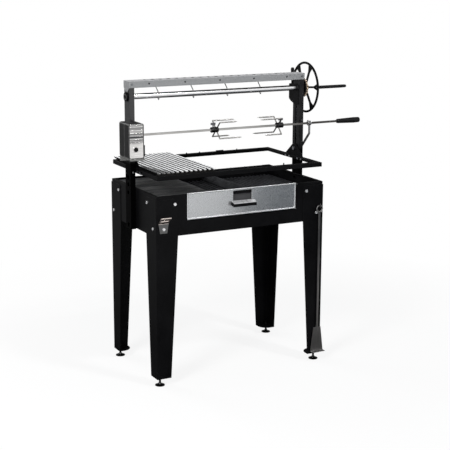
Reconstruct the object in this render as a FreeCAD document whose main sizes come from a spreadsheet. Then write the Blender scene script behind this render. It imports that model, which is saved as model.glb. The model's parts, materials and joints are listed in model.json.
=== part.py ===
"""Charcoal grill on four tapered legs, with a winch-raised grill frame and a motor-driven spit.

Millimetres, +Z up, front towards -Y. The pieces are drawn about the middle of the firebox, with the
floor at Z = 0, and each one's Placement then moves it so that the origin is the bottom centre of the
whole grill's bounding box.
"""
import FreeCAD
import Part
import Sketcher
import math
import os
import re

SIZES = [
    # firebox
    ("firebox_wide", 850), ("firebox_deep", 502), ("firebox_top", 871), ("firebox_low", 688),
    ("sheet_gauge", 2), ("rim_lip", 15), ("base_lip", 12),
    ("side_bolt_high_inset", 88), ("side_bolt_low_inset", 27), ("end_bolt_high_inset", 89),
    ("end_bolt_low_inset", 33), ("leg_bolt_drop", 39), ("leg_bolt_rise", 37),
    ("opening_wide", 534), ("opening_sill", 78), ("opening_rail", 20),
    # hearth
    ("angle_leg", 20), ("angle_gauge", 2), ("hearth_drop", 11), ("hearth_gauge", 4),
    ("bearer_leg", 14), ("hearth_right", -145), ("hearth_plate_gap", 5), ("hearth_plate_count", 4),
    ("drawer_headroom", 4), ("bearer_tall", 10), ("bearer_thick", 6), ("fire_bar", 8),
    ("fire_bar_side_gap", 9.5), ("fire_bar_count", 40), ("fire_bar_end_gap", 11),
    ("divider_place", 45), ("divider_gauge", 3), ("divider_drop", 7), ("divider_foot", 30),
    # ash drawer
    ("drawer_gap", 2), ("drawer_lift", 4), ("drawer_tall", 32), ("drawer_deep", 470),
    ("drawer_gauge", 1.5), ("runner_wide", 24), ("runner_tall", 22), ("running_gap", 0.3),
    ("front_gap", 0.5), ("front_gauge", 2), ("front_overlap", 10), ("front_rise", 5),
    ("hem_round", 3), ("window_wide", 95), ("window_tall", 46), ("window_drop", 10),
    ("pull_reach", 28), ("pull_gauge", 2.5), ("pull_wide", 116), ("pull_drop", 16),
    ("pull_flange", 18), ("pull_slope", 6), ("pan_deep", 8), ("pan_gauge", 1.5),
    # legs and feet
    ("leg_gauge", 2.5), ("leg_drop", 14), ("leg_low", 34), ("leg_face", 107), ("leg_toe", 70),
    ("leg_corner_round", 14), ("bolt_shank", 3), ("bolt_hole", 3.3), ("bolt_head", 6.5),
    ("bolt_head_tall", 4), ("nut_radius", 5.2), ("nut_tall", 5), ("nut_bore", 3.1),
    ("shank_past_nut", 2),
    ("foot_plate_rise", 0.5), ("foot_plate_gauge", 3), ("foot_plate_leg", 66),
    ("foot_plate_round", 46), ("foot_inset", 20),
    ("foot_disc", 22), ("foot_rim_tall", 3), ("foot_stem", 5), ("foot_stem_rise", 24), ("shaft_fit", 0.05),
    ("foot_nut", 9), ("foot_nut_tall", 8), ("foot_hub_tall", 8), ("foot_cone", 7),
    # columns and crossbar
    ("column_wide", 24), ("column_deep", 58), ("column_wall", 2), ("column_drop", 4),
    ("slot_half", 5.5), ("slot_rise", 34), ("slot_drop", 53), ("access_radius", 10),
    ("column_bolt_rise", 13), ("column_bolt_drop", 21), ("access_rise", 16), ("access_pitch", 32),
    ("support_bolt_pitch", 28), ("support_bolt_drop", 133), ("rivet_radius", 2.5), ("rivet_head", 4.5),
    ("rivet_head_tall", 2.5), ("rivet_drop", 14), ("rivet_inset", 6), ("rivet_spacing", 12),
    ("cap_screw", 4), ("cap_screw_tall", 2.5), ("stop_screw_rise", 74), ("rest_screw_rise", 9),
    ("rest_screw_tall", 5), ("crossbar_screw", 5), ("crossbar_screw_tall", 3),
    ("crossbar_rise", 71), ("crossbar_tall", 30), ("crossbar_gauge", 2), ("tab_drop", 48),
    ("tab_tip", 24), ("crossbar_slot_wide", 17), ("crossbar_slot_long", 28),
    ("crossbar_slot_back", 11), ("crossbar_slot_pitch", 40), ("crossbar_slot_count", 19),
    ("crossbar_hole_pitch", 177),
    ("crossbar_hole", 4), ("crossbar_hole_drop", 14), ("hook_wire", 2), ("hook_pitch", 175),
    ("hook_first", -290), ("hook_count", 4), ("hook_clear", 1.5), ("hook_lean", 9),
    ("hook_weld", 24), ("hook_bend", 14),
    ("hook_drop", 17), ("hook_tip", 5),
    # winch
    ("winch_rise", 162), ("shaft_radius", 12.7), ("shaft_bore", 10.7), ("shaft_proud", 1),
    ("bush_flange", 20),
    ("bush_flange_long", 8), ("bush_spigot", 15), ("bush_spigot_long", 4), ("bush_seat_gap", 0.2),
    ("plate_gauge", 4), ("drum_radius", 16.6), ("drum_wide", 3.2),
    ("chain_pitch", 12.7), ("chain_roller", 3.9), ("chain_inner", 3.6), ("chain_plate", 1.1),
    ("chain_plate_round", 5.4), ("chain_waist", 0.62), ("chain_pin", 1.8), ("ratchet_links", 20),
    ("ratchet_gap", 7),
    ("wheel_radius", 116), ("rim_radius", 5.5), ("wheel_gap", 24), ("hub_radius", 19),
    ("hub_long", 16), ("spoke_thick", 7), ("spoke_root", 11), ("spoke_waist", 4.5), ("spoke_toe", 17),
    ("spoke_count", 6), ("first_spoke_angle", 5), ("grip_orbit", 109), ("grip_radius", 7.5),
    ("grip_long", 150), ("pin_radius", 4), ("pin_head", 5.5), ("pin_head_long", 3), ("pin_boss", 10),
    ("pin_boss_back", 2.4), ("cap_nut_long", 5), ("cap_nut_inset", 3), ("grip_step", 1.5),
    ("grip_step_long", 8), ("grip_taper", 0.5), ("grip_taper_long", 30), ("grip_edge", 1.5),
    ("plate_behind", 11), ("plate_below", 24), ("plate_above", 16), ("plate_round", 8),
    ("plate_slot_gap", 2.5), ("lever_tail", 10), ("lever_straight", 30), ("lever_taper", 3),
    ("lever_round", 5), ("nose_long", 2), ("nose_tip", 3), ("knob_step", 1), ("knob_foot", 6),
    ("knob_head", 8),
    ("lever_gap", 5), ("lever_thick", 6), ("lever_wide", 14), ("lever_behind", 23),
    ("pivot_drop", 56), ("pivot_radius", 4), ("knob_rise", 61), ("knob_tall", 30),
    ("knob_radius", 8.5), ("knob_seat", 6), ("nose_gap", 0.8), ("arm_tall", 10), ("nose_tall", 6),
    # grill frame and its carriage
    ("frame_side_gap", 7), ("frame_overhang", 1.5), ("frame_rise", 89), ("frame_tall", 20),
    ("frame_gauge", 3), ("frame_flange", 26), ("gusset_half", 84), ("gusset_rise", 52),
    ("gusset_tip", 14), ("gusset_gauge", 3), ("slide_bolt_rise", 31), ("slide_bolt_radius", 5),
    ("slider_half", 29), ("slider_gap", 0.4), ("lug_tall", 8),
    ("lug_thin", 6), ("lug_wide", 42), ("lug_first", -47), ("lug_second", 23), ("lug_third", 132),
    ("lug_fourth", 227), ("gusset_bolt_inner", 38), ("gusset_bolt_outer", 72),
    ("gusset_bolt_rise", 8), ("gusset_bolt_head", 5.5), ("gusset_bolt_head_tall", 3),
    ("gusset_nut_tall", 3.2), ("gusset_edge_drop", 4), ("gusset_round", 6), ("slide_bolt_head", 9),
    ("slide_bolt_head_tall", 7),
    # grill grate
    ("grate_side_gap", 16), ("grate_pitch", 22.4), ("grate_count", 13), ("grate_inset", 20.5),
    ("grate_overhang", 9.5), ("grate_strap", 18), ("grate_strap_gauge", 3), ("channel_wide", 14),
    ("channel_tall", 9), ("channel_gauge", 1.5), ("grate_seat_gap", 0.3),
    ("channel_root", 1.5), ("channel_edge", 1.6), ("grate_strap_end", 5), ("back_strap_overlap", 14),
    # spit
    ("spit_rise", 248), ("spit_reach", 47), ("spit_bar", 9), ("spit_fit", 0.1),
    ("socket_deep", 11), ("socket_radius", 9), ("handle_gap", 159), ("handle_long", 127),
    ("handle_thin", 10.5), ("handle_thick", 13.5), ("bush_radius", 11),
    ("handle_step", 1.5), ("handle_step_long", 6), ("handle_swell", 0.75), ("handle_tail", 1),
    ("handle_edge", 4), ("bush_rim", 2.5), ("bush_slope", 1.5), ("bush_groove", 7), ("bush_half", 7.5),
    ("cradle_thick", 6), ("cradle_gap", 0.3),
    ("cradle_arm", 5), ("cradle_tall", 13), ("strap_half", 5), ("strap_drop", 48), ("strap_lean", 4),
    ("support_bolt_head", 5.5), ("support_bolt_head_tall", 4), ("handle_buried", 20),
    ("fork_left_hub", -69), ("fork_right_hub", 272), ("fork_hub_long", 34), ("fork_hub_radius", 12.5),
    ("tine_orbit", 51.7), ("tine_radius", 3), ("tine_long", 113), ("tine_step", 24), ("tine_angle", 45),
    ("screw_radius", 3), ("screw_head_tall", 8), ("screw_neck", 8),
    ("screw_offset", 7), ("screw_boss", 5), ("screw_wing", 12), ("screw_wing_thick", 3.2),
    ("wing_gap", 2), ("wing_rise", 4), ("rod_end_gap", 2),
    ("arm_offset", 9), ("arm_root", 8), ("tine_point", 14), ("tine_tip", 0.4),
    # motor
    ("motor_gap", 4), ("motor_wide", 72), ("motor_deep", 106), ("motor_drop", 94),
    ("motor_tall", 154), ("motor_wall", 2.5), ("motor_split_gap", 12), ("bracket_gauge", 3),
    ("bracket_drop", 23), ("bracket_rise", 75), ("shelf_lip", 9), ("cover_gauge", 3),
    ("core_radius", 26), ("core_long", 40), ("core_nose", 8), ("core_nose_long", 10),
    ("case_round", 9), ("ear_proud", 4.5),
    ("ear_deep", 22), ("ear_tall", 58),
    ("rocker_rise", 41), ("rocker_radius", 9), ("rocker_gap", 1.3), ("rocker_proud", 3),
    ("rocker_groove_inset", 2),
    ("rocker_pin", 0.8), ("rocker_pin_long", 2), ("rocker_aside", 4), ("rocker_bezel", 13),
    ("bezel_tall", 1.6), ("gear_radius", 20), ("gear_wide", 6), ("socket_end", 3),
    ("socket_gap", 0.4), ("rib_tall", 1.2), ("rib_wide", 6), ("rib_pitch", 14), ("rib_count", 6),
    ("rib_inset", 6),
    ("rib_drop", 16), ("cover_left", 3), ("cover_right", 5), ("cover_edge", 3),
    # things hung on the front legs
    ("opener_rise", 27), ("opener_tall", 46), ("opener_wide", 49), ("opener_toe", 35),
    ("opener_gauge", 3), ("hood_reach", 33), ("hood_rise", 30), ("hood_drop", 4.5),
    ("mouth_margin", 7), ("notch_half", 10), ("notch_end", 10), ("tooth_end", 15),
    ("tool_inset", 20), ("peg_above_bolt", 27),
    ("peg_radius", 3), ("ring_radius", 15), ("ring_wire", 3), ("tool_low", 46), ("blade_top", 166),
    ("blade_wide", 40), ("hoe_wide", 70), ("hoe_reach", 22), ("tool_standoff", 5.5),
    ("peg_past", 4), ("peg_rise", 12), ("stem_wide", 10), ("stem_gauge", 4.5), ("blade_gauge", 2.5),
]

WORKED = {
    # firebox
    "box_x": "firebox_wide / 2", "box_y": "firebox_deep / 2",
    "wall_x": "box_x - sheet_gauge", "wall_y": "box_y - sheet_gauge",
    "floor_level": "firebox_low + sheet_gauge",
    "ember_level": "grate_ledge_level + bearer_tall + fire_bar",
    "opening_low": "firebox_low + opening_sill", "opening_top": "firebox_top - opening_rail",
    "leg_bolt_high": "firebox_top - leg_bolt_drop", "leg_bolt_low": "firebox_low + leg_bolt_rise",
    "hearth_level": "firebox_top - hearth_drop",
    "hearth_plate_deep": "(2 * (box_y - rim_lip) + hearth_plate_gap) / hearth_plate_count - hearth_plate_gap",
    "grate_ledge_level": "drawer_low + drawer_tall + drawer_headroom",
    "fire_bar_pitch": "(2 * (wall_x - fire_bar_side_gap) - fire_bar) / (fire_bar_count - 1)",
    "fire_bar_long": "2 * (wall_y - fire_bar_end_gap)", "divider_top": "firebox_top - divider_drop",
    # ash drawer
    "drawer_x": "opening_wide / 2 - drawer_gap", "drawer_low": "opening_low + drawer_lift",
    "runner_level": "drawer_low - running_gap",
    "front_back": "-box_y - front_gap", "front_face": "front_back - front_gauge",
    "front_low": "opening_low - front_overlap", "front_x": "opening_wide / 2 + front_overlap",
    "pull_front": "front_face - pull_reach",
    "front_top": "firebox_top + front_rise", "window_top": "front_top - window_drop",
    "window_low": "window_top - window_tall",
    # legs
    "leg_x": "box_x + leg_gauge", "leg_y": "box_y + leg_gauge",
    "leg_top": "firebox_top - leg_drop", "foot_plate_level": "leg_low + foot_plate_rise",
    "foot_top": "foot_plate_level + foot_stem_rise",
    # columns and crossbar
    "column_in": "box_x", "column_out": "box_x + column_wide", "column_y": "column_deep / 2",
    "column_bore": "column_in + column_wall", "column_bore_out": "column_out - column_wall",
    "column_top": "crossbar_top - crossbar_gauge", "column_middle": "box_x + column_wide / 2",
    "crossbar_x": "column_out + crossbar_gauge", "crossbar_y": "column_y + crossbar_gauge",
    "crossbar_hole_level": "crossbar_top - crossbar_hole_drop",
    "column_low": "firebox_low - column_drop", "slot_low": "firebox_top + slot_rise",
    "slot_top": "winch_level - slot_drop", "column_bolt_low": "firebox_low + column_bolt_rise",
    "column_bolt_high": "firebox_top - column_bolt_drop", "access_low": "firebox_top + access_rise",
    "access_high": "access_low + access_pitch", "crossbar_top": "winch_level + crossbar_rise",
    "tab_low": "crossbar_top - tab_drop", "support_bolt_high": "spit_level - support_bolt_drop",
    "support_bolt_low": "support_bolt_high - support_bolt_pitch",
    "stop_screw_level": "firebox_top + stop_screw_rise", "rest_screw_level": "spit_level + rest_screw_rise",
    # winch
    "bush_end": "column_out + bush_flange_long", "shaft_end": "bush_end + shaft_proud",
    "chain_half": "chain_inner / 2 + 2 * chain_plate", "ratchet_middle": "ratchet_start + chain_half",
    "winch_level": "spit_level + winch_rise", "ratchet_start": "column_out + ratchet_gap",
    "wheel_place": "column_out + wheel_gap", "lever_place": "column_in + lever_gap",
    "lever_back": "column_y + lever_behind", "pivot_level": "winch_level - pivot_drop",
    "knob_low": "winch_level + knob_rise",
    # carriage
    "frame_x": "frame_wide / 2", "frame_y": "frame_deep / 2", "frame_low": "frame_top - frame_tall",
    "gusset_bolt_level": "frame_low + gusset_bolt_rise", "strap_level": "frame_top + grate_seat_gap",
    "grate_low": "strap_level + grate_strap_gauge",
    "frame_wide": "2 * (column_in - frame_side_gap)", "frame_deep": "2 * (box_y + frame_overhang)",
    "frame_top": "firebox_top + frame_rise", "gusset_top": "frame_top + gusset_rise",
    "slide_bolt_level": "frame_top + slide_bolt_rise", "slider_low": "slide_bolt_level - slider_half",
    "slider_top": "slide_bolt_level + slider_half", "grate_left": "-frame_x + grate_side_gap",
    "grate_front": "-frame_y + grate_inset", "grate_back": "frame_y + grate_overhang",
    # spit
    "spit_level": "firebox_top + spit_rise", "spit_line": "-column_y - spit_reach",
    "socket_start": "motor_right - socket_deep", "handle_start": "column_out + handle_gap",
    "handle_end": "handle_start + handle_long", "bush_place": "column_out + cradle_thick / 2",
    # motor
    "motor_right": "-column_in - motor_gap", "motor_back": "-column_y - bracket_gauge",
    "motor_top": "motor_low + motor_tall", "motor_middle": "motor_left + motor_wide / 2",
    "motor_hollow_back": "motor_back - motor_wall", "rocker_place": "motor_middle - rocker_aside",
    "cover_face": "motor_front - cover_gauge",
    "motor_left": "motor_right - motor_wide", "motor_front": "motor_back - motor_deep",
    "motor_low": "spit_level - motor_drop", "motor_split": "spit_line - motor_split_gap",
    "bracket_low": "motor_low - bracket_drop", "bracket_high": "motor_low + bracket_rise",
    "rivet_level": "motor_low - rivet_drop", "rocker_level": "motor_low + rocker_rise",
    # things hung on the front legs
    "opener_middle": "-box_x + end_bolt_low_inset",
    "opener_top": "leg_bolt_low + opener_rise", "opener_low": "opener_top - opener_tall",
    "tool_place": "box_x - tool_inset", "peg_level": "leg_bolt_low + peg_above_bolt",
    # the whole grill's bounding box
    "shift_x": "-(handle_end + motor_left) / 2", "shift_y": "-(grate_back + pull_front) / 2",
}

doc = FreeCAD.newDocument("charcoal_grill")
sheet = doc.addObject("Spreadsheet::Sheet", "sizes")
for row, (alias, number) in enumerate(SIZES, start=1):
    sheet.set(f"A{row}", alias)
    sheet.set(f"B{row}", str(number))
    sheet.setAlias(f"B{row}", alias)
doc.recompute()

CELLS = {alias for alias, number in SIZES}
NODES = []


def formula(text):
    """Spell a size formula out in the sheet's cells."""
    def spell(match):
        word = match.group(0)
        if word in WORKED:
            return "(" + formula(WORKED[word]) + ")"
        return "sizes." + word if word in CELLS else word
    return re.sub(r"[a-z_][a-z0-9_]*", spell, str(text))


def value(text):
    """Number that a size formula gives now."""
    return float(sheet.evalExpression(formula(text)))


def minus(text):
    return f"-({text})"


def span_about(middle, half):
    return f"{middle} - ({half})", f"{middle} + ({half})"


def mirrored(side, low, high):
    """Span from low to high on the +X or +Y side (side 1), or its mirror image (side -1)."""
    return (low, high) if side > 0 else (minus(high), minus(low))


# ---------------------------------------------------------------- solids

def box(x, y, z):
    """Box between two formulas along each axis."""
    solid = doc.addObject("Part::Box", "box")
    for size, place, (low, high) in zip(("Length", "Width", "Height"), "xyz", (x, y, z)):
        solid.setExpression(size, formula(f"({high}) - ({low})"))
        solid.setExpression("Placement.Base." + place, formula(low))
    return solid


TURNS = {"x": FreeCAD.Rotation(FreeCAD.Vector(0, 1, 0), 90),
         "y": FreeCAD.Rotation(FreeCAD.Vector(1, 0, 0), -90),
         "z": FreeCAD.Rotation()}


def rod(axis, centre, radius, span, end_radius=None):
    """Round bar along an axis, or a cone if end_radius is given; centre holds the other two places."""
    solid = doc.addObject("Part::Cylinder" if end_radius is None else "Part::Cone", "rod")
    solid.Placement = FreeCAD.Placement(FreeCAD.Vector(), TURNS[axis])
    places = iter(centre)
    for name in "xyz":
        place = span[0] if name == axis else next(places)
        solid.setExpression("Placement.Base." + name, formula(place))
    solid.setExpression("Height", formula(f"({span[1]}) - ({span[0]})"))
    if end_radius is None:
        solid.setExpression("Radius", formula(radius))
    else:
        solid.setExpression("Radius1", formula(radius))
        solid.setExpression("Radius2", formula(end_radius))
    return solid


def hexagon(axis, centre, radius, span):
    """Hexagonal bar along an axis."""
    solid = doc.addObject("Part::Prism", "hexagon")
    solid.Polygon = 6
    solid.Placement = FreeCAD.Placement(FreeCAD.Vector(), TURNS[axis])
    places = iter(centre)
    for name in "xyz":
        place = span[0] if name == axis else next(places)
        solid.setExpression("Placement.Base." + name, formula(place))
    solid.setExpression("Height", formula(f"({span[1]}) - ({span[0]})"))
    solid.setExpression("Circumradius", formula(radius))
    return solid


def ball(centre, radius):
    solid = doc.addObject("Part::Sphere", "ball")
    solid.setExpression("Radius", formula(radius))
    for name, place in zip("xyz", centre):
        solid.setExpression("Placement.Base." + name, formula(place))
    return solid


def join(solids):
    """One solid made of several."""
    joined = doc.addObject("Part::MultiFuse", "join")
    joined.Shapes = solids
    joined.Refine = True
    return joined


def cut(solid, tools):
    """The solid with the tools taken out of it."""
    trimmed = doc.addObject("Part::Cut", "cut")
    trimmed.Base = solid
    trimmed.Tool = tools[0] if len(tools) == 1 else join(tools)
    return trimmed


def bundle(solids):
    """Separate solids kept together."""
    group = doc.addObject("Part::Compound", "bundle")
    group.Links = list(solids)
    return group


def wire_rod(points, radius):
    """Round wire through points, with ball corners."""
    pieces = [ball(point, radius) for point in points]
    for start, end in zip(points, points[1:]):
        first = FreeCAD.Vector(*(value(text) for text in start))
        run = FreeCAD.Vector(*(value(text) for text in end)) - first
        solid = doc.addObject("Part::Cylinder", "wire")
        solid.Placement = FreeCAD.Placement(first, FreeCAD.Rotation(FreeCAD.Vector(0, 0, 1), run))
        solid.setExpression("Radius", formula(radius))
        solid.Height = run.Length
        pieces.append(solid)
    return join(pieces)


# ---------------------------------------------------------------- sketched bodies

PLANES = {"x": "YZ_Plane", "y": "XZ_Plane", "z": "XY_Plane"}


def sketch_on(body, axis, outline, holes=()):
    """Sketch of a closed outline, each corner a pair of formulas, with round holes (u, v, radius)."""
    sketch = body.newObject("Sketcher::SketchObject", "outline")
    plane = next(item for item in body.Origin.OriginFeatures if item.Role == PLANES[axis])
    sketch.AttachmentSupport = (plane, [""])
    sketch.MapMode = "FlatFace"
    corners = [FreeCAD.Vector(value(u), value(v), 0) for u, v in outline]
    for start, end in zip(corners, corners[1:] + corners[:1]):
        sketch.addGeometry(Part.LineSegment(start, end), False)
    count = len(outline)
    for side in range(count):
        sketch.addConstraint(Sketcher.Constraint("Coincident", side, 2, (side + 1) % count, 1))
    for side, pair in enumerate(outline):
        pin_point(sketch, side, 1, pair)
    for u, v, radius in holes:
        add_circle(sketch, u, v, radius)
    return sketch


def add_circle(sketch, u, v, radius):
    """Circle in a sketch, its centre and radius tied to formulas."""
    circle = Part.Circle(FreeCAD.Vector(value(u), value(v), 0), FreeCAD.Vector(0, 0, 1), value(radius))
    number = sketch.addGeometry(circle, False)
    pin_point(sketch, number, 3, (u, v))
    rule = sketch.addConstraint(Sketcher.Constraint("Radius", number, value(radius)))
    sketch.setExpression(f"Constraints[{rule}]", formula(radius))


def pin_point(sketch, number, point, pair):
    """Tie a sketch point's two coordinates to formulas."""
    for kind, text in zip(("DistanceX", "DistanceY"), pair):
        rule = sketch.addConstraint(Sketcher.Constraint(kind, -1, 1, number, point, value(text)))
        sketch.setExpression(f"Constraints[{rule}]", formula(text))


def prism(axis, outline, span, holes=(), rounds=None):
    """Body padded along an axis from a sketched outline.

    The outline's pairs are (y, z) for axis x, (x, z) for axis y and (x, y) for axis z. rounds is a
    radius and the corners, by number in the outline, that it rounds.
    """
    body = doc.addObject("PartDesign::Body", "prism")
    sketch = sketch_on(body, axis, outline, holes)
    start = minus(span[1]) if axis == "y" else span[0]
    sketch.setExpression("AttachmentOffset.Base.z", formula(start))
    pad = body.newObject("PartDesign::Pad", "pad")
    pad.Profile = sketch
    pad.setExpression("Length", formula(f"({span[1]}) - ({span[0]})"))
    if rounds:
        radius, corners = rounds
        doc.recompute()
        fillet = body.newObject("PartDesign::Fillet", "rounding")
        fillet.Base = (pad, edges_at(pad, axis, [outline[corner] for corner in corners]))
        fillet.setExpression("Radius", formula(radius))
    return body


def edges_at(feature, axis, corners):
    """Names of the edges that run along the axis through the given outline corners."""
    seats = {"x": ("y", "z"), "y": ("x", "z"), "z": ("x", "y")}[axis]
    wanted = [(value(u), value(v)) for u, v in corners]
    names = []
    for number, edge in enumerate(feature.Shape.Edges, start=1):
        first, last = edge.Vertexes[0].Point, edge.Vertexes[-1].Point
        if abs(getattr(first, axis) - getattr(last, axis)) < edge.Length * 0.99:
            continue
        for u, v in wanted:
            if math.hypot(getattr(first, seats[0]) - u, getattr(first, seats[1]) - v) < 0.01:
                names.append(f"Edge{number}")
    return names


def turned(axis, outline, centre, rounds=None):
    """Body of revolution; the outline's pairs are (place along the axis, radius).

    rounds is a radius and the outline corners, by number, whose circular edge it rounds.
    """
    body = doc.addObject("PartDesign::Body", "turned")
    if axis == "x":
        sketch = sketch_on(body, "y", outline)
        line = (sketch, ["H_Axis"])
    else:
        sketch = sketch_on(body, "y", [(radius, along) for along, radius in outline])
        line = (sketch, ["V_Axis"])
    feature = body.newObject("PartDesign::Revolution", "turning")
    feature.Profile = sketch
    feature.ReferenceAxis = line
    feature.Angle = 360
    if rounds:
        soft_radius, corners = rounds
        doc.recompute()
        wanted = [(value(outline[corner][0]), value(outline[corner][1])) for corner in corners]
        names = []
        for number, edge in enumerate(feature.Shape.Edges, start=1):
            if not isinstance(edge.Curve, Part.Circle):
                continue
            place = getattr(edge.Curve.Center, axis)
            if any(abs(place - a) < 0.01 and abs(edge.Curve.Radius - r) < 0.01 for a, r in wanted):
                names.append(f"Edge{number}")
        fillet = body.newObject("PartDesign::Fillet", "rounding")
        fillet.Base = (feature, names)
        fillet.setExpression("Radius", formula(soft_radius))
    for name, place in zip("xyz", centre):
        body.setExpression("Placement.Base." + name, formula(place))
    return body


# ---------------------------------------------------------------- naming

def sub_part(label, *solids):
    """Name a finished sub-part of one or more solids, and move it into the whole grill's own frame."""
    held = bundle(solids)
    held.Label = label
    held.setExpression("Placement.Base.x", formula("shift_x"))
    held.setExpression("Placement.Base.y", formula("shift_y"))
    NODES.append(held)


# ---------------------------------------------------------------- firebox

# Bolts through each leg: (place along the face from the middle, level).
SIDE_BOLTS = [("box_y - side_bolt_high_inset", "leg_bolt_high"),
              ("box_y - side_bolt_low_inset", "leg_bolt_low")]
END_BOLTS = [("box_x - end_bolt_high_inset", "leg_bolt_high"), ("box_x - end_bolt_low_inset", "leg_bolt_low")]
COLUMN_BOLT_LEVELS = ("column_bolt_low", "column_bolt_high")
PAST = 1  # how far a cutting tool runs past the face that it cuts


def bores(axis, places, radius, span):
    """Cutting tools for round holes along an axis, a little longer than the span."""
    low, high = span
    return [rod(axis, place, radius, (f"{low} - {PAST}", f"{high} + {PAST}")) for place in places]


def end_bolt_places(hand):
    return [(f"{hand} * ({place})", level) for place, level in END_BOLTS]


def side_bolt_places(side):
    return [(f"{side} * ({place})", level) for place, level in SIDE_BOLTS]


def end_panel(side):
    """Front (side -1) or back (side 1) panel, with an inward lip at the rim and at the base."""
    wall_span, between = mirrored(side, "wall_y", "box_y"), ("-wall_x", "wall_x")
    wall = box(("-box_x", "box_x"), wall_span, ("firebox_low", "firebox_top"))
    rim = box(between, mirrored(side, "box_y - rim_lip", "box_y"),
              ("firebox_top - sheet_gauge", "firebox_top"))
    base = box(between, mirrored(side, "box_y - base_lip", "box_y"), ("firebox_low", "floor_level"))
    tools = bores("y", end_bolt_places(-1) + end_bolt_places(1), "bolt_hole", wall_span)
    if side < 0:
        tools.append(box(span_about("0", "opening_wide / 2"), (f"-box_y - {PAST}", f"-wall_y + {PAST}"),
                         ("opening_low", "opening_top")))
    return cut(join([wall, rim, base]), tools)


def side_panel(hand):
    """Left (hand -1) or right (hand 1) panel between the end panels."""
    wall_span = mirrored(hand, "wall_x", "box_x")
    wall = box(wall_span, ("-wall_y", "wall_y"), ("firebox_low", "firebox_top"))
    rim = box(mirrored(hand, "box_x - rim_lip", "box_x"), ("-box_y + rim_lip", "box_y - rim_lip"),
              ("firebox_top - sheet_gauge", "firebox_top"))
    places = side_bolt_places(-1) + side_bolt_places(1) + [("0", level) for level in COLUMN_BOLT_LEVELS]
    return cut(join([wall, rim]), bores("x", places, "bolt_hole", wall_span))


def side_ledge(hand, level):
    """Angle bar fixed inside a side panel: a flat leg at the level over an upright leg."""
    between = ("-box_y + rim_lip", "box_y - rim_lip")
    flat = box(mirrored(hand, "wall_x - angle_leg", "wall_x"), between, (f"{level} - angle_gauge", level))
    upright_span = mirrored(hand, "wall_x - angle_gauge", "wall_x")
    upright = box(upright_span, between, (f"{level} - angle_leg", level))
    return cut(join([flat, upright]), bores("x", [("0", "column_bolt_high")], "bolt_hole", upright_span))


def drawer_runner(hand):
    """Angle from end panel to end panel that the ash drawer slides on."""
    outer = "opening_wide / 2"
    flat = box(mirrored(hand, f"{outer} - runner_wide", outer), ("-wall_y", "wall_y"),
               ("runner_level - angle_gauge", "runner_level"))
    upright = box(mirrored(hand, f"{outer} - angle_gauge", outer), ("-wall_y", "wall_y"),
                  ("runner_level - runner_tall", "runner_level"))
    return join([flat, upright])


def hearth_bearer():
    """Angle from end panel to end panel under the hearth plates' right ends."""
    return join([
        box(("hearth_right - angle_leg", "hearth_right"), ("-wall_y", "wall_y"),
            ("hearth_level - angle_gauge", "hearth_level")),
        box(("hearth_right - angle_gauge", "hearth_right"), ("-wall_y", "wall_y"),
            ("hearth_level - bearer_leg", "hearth_level"))])


def hearth_plates():
    """Loose steel plates side by side over the left end of the firebox."""
    plates = []
    for number in range(int(value("hearth_plate_count"))):
        front = f"-box_y + rim_lip + {number} * (hearth_plate_deep + hearth_plate_gap)"
        plates.append(box(("-wall_x", "hearth_right"), (front, f"{front} + hearth_plate_deep"),
                          ("hearth_level", "hearth_level + hearth_gauge")))
    return plates


def fire_grate():
    """Welded grate over the ash drawer: square bars front to back on three cross bearers."""
    body = doc.addObject("PartDesign::Body", "bar_row")
    left, right = span_about("-(fire_bar_count - 1) * fire_bar_pitch / 2", "fire_bar / 2")
    low = "ember_level - fire_bar"
    bar_sketch = sketch_on(body, "y", [(left, low), (right, low), (right, "ember_level"),
                                       (left, "ember_level")])
    bar_sketch.setExpression("AttachmentOffset.Base.z", formula("-fire_bar_long / 2"))
    bar = body.newObject("PartDesign::Pad", "bar")
    bar.Profile = bar_sketch
    bar.setExpression("Length", formula("fire_bar_long"))
    row = body.newObject("PartDesign::LinearPattern", "bars")
    row.Originals = [bar]
    row.Direction = (bar_sketch, ["H_Axis"])
    row.setExpression("Length", formula("(fire_bar_count - 1) * fire_bar_pitch"))
    row.setExpression("Occurrences", formula("fire_bar_count"))
    body.Tip = row
    bearers = [box(("-wall_x + running_gap", "wall_x - running_gap"), span_about(place, "bearer_thick / 2"),
                   ("grate_ledge_level", low))
               for place in ("-fire_bar_long / 3", "0", "fire_bar_long / 3")]
    return join([body] + bearers)


def ember_divider():
    """Loose angle plate that stands on the fire grate and keeps the embers to one side."""
    between = ("-box_y + rim_lip", "box_y - rim_lip")
    wall = box(("divider_place", "divider_place + divider_gauge"), between, ("ember_level", "divider_top"))
    foot = box(("divider_place", "divider_place + divider_foot"), between,
               ("ember_level", "ember_level + divider_gauge"))
    return join([wall, foot])


def build_firebox():
    sub_part("firebox_front", end_panel(-1))
    sub_part("firebox_back", end_panel(1))
    sub_part("firebox_side_left", side_panel(-1))
    sub_part("firebox_side_right", side_panel(1))
    sub_part("hearth_floor", box(("-wall_x", "wall_x"), ("-wall_y", "wall_y"),
                                 ("floor_level", "floor_level + sheet_gauge")))
    sub_part("inner_angles", drawer_runner(-1), drawer_runner(1), side_ledge(-1, "grate_ledge_level"),
             side_ledge(1, "grate_ledge_level"), side_ledge(-1, "hearth_level"), hearth_bearer())
    sub_part("hearth_plates", *hearth_plates())
    sub_part("fire_grate", fire_grate())
    sub_part("ember_divider", ember_divider())


# ---------------------------------------------------------------- ash drawer

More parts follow.
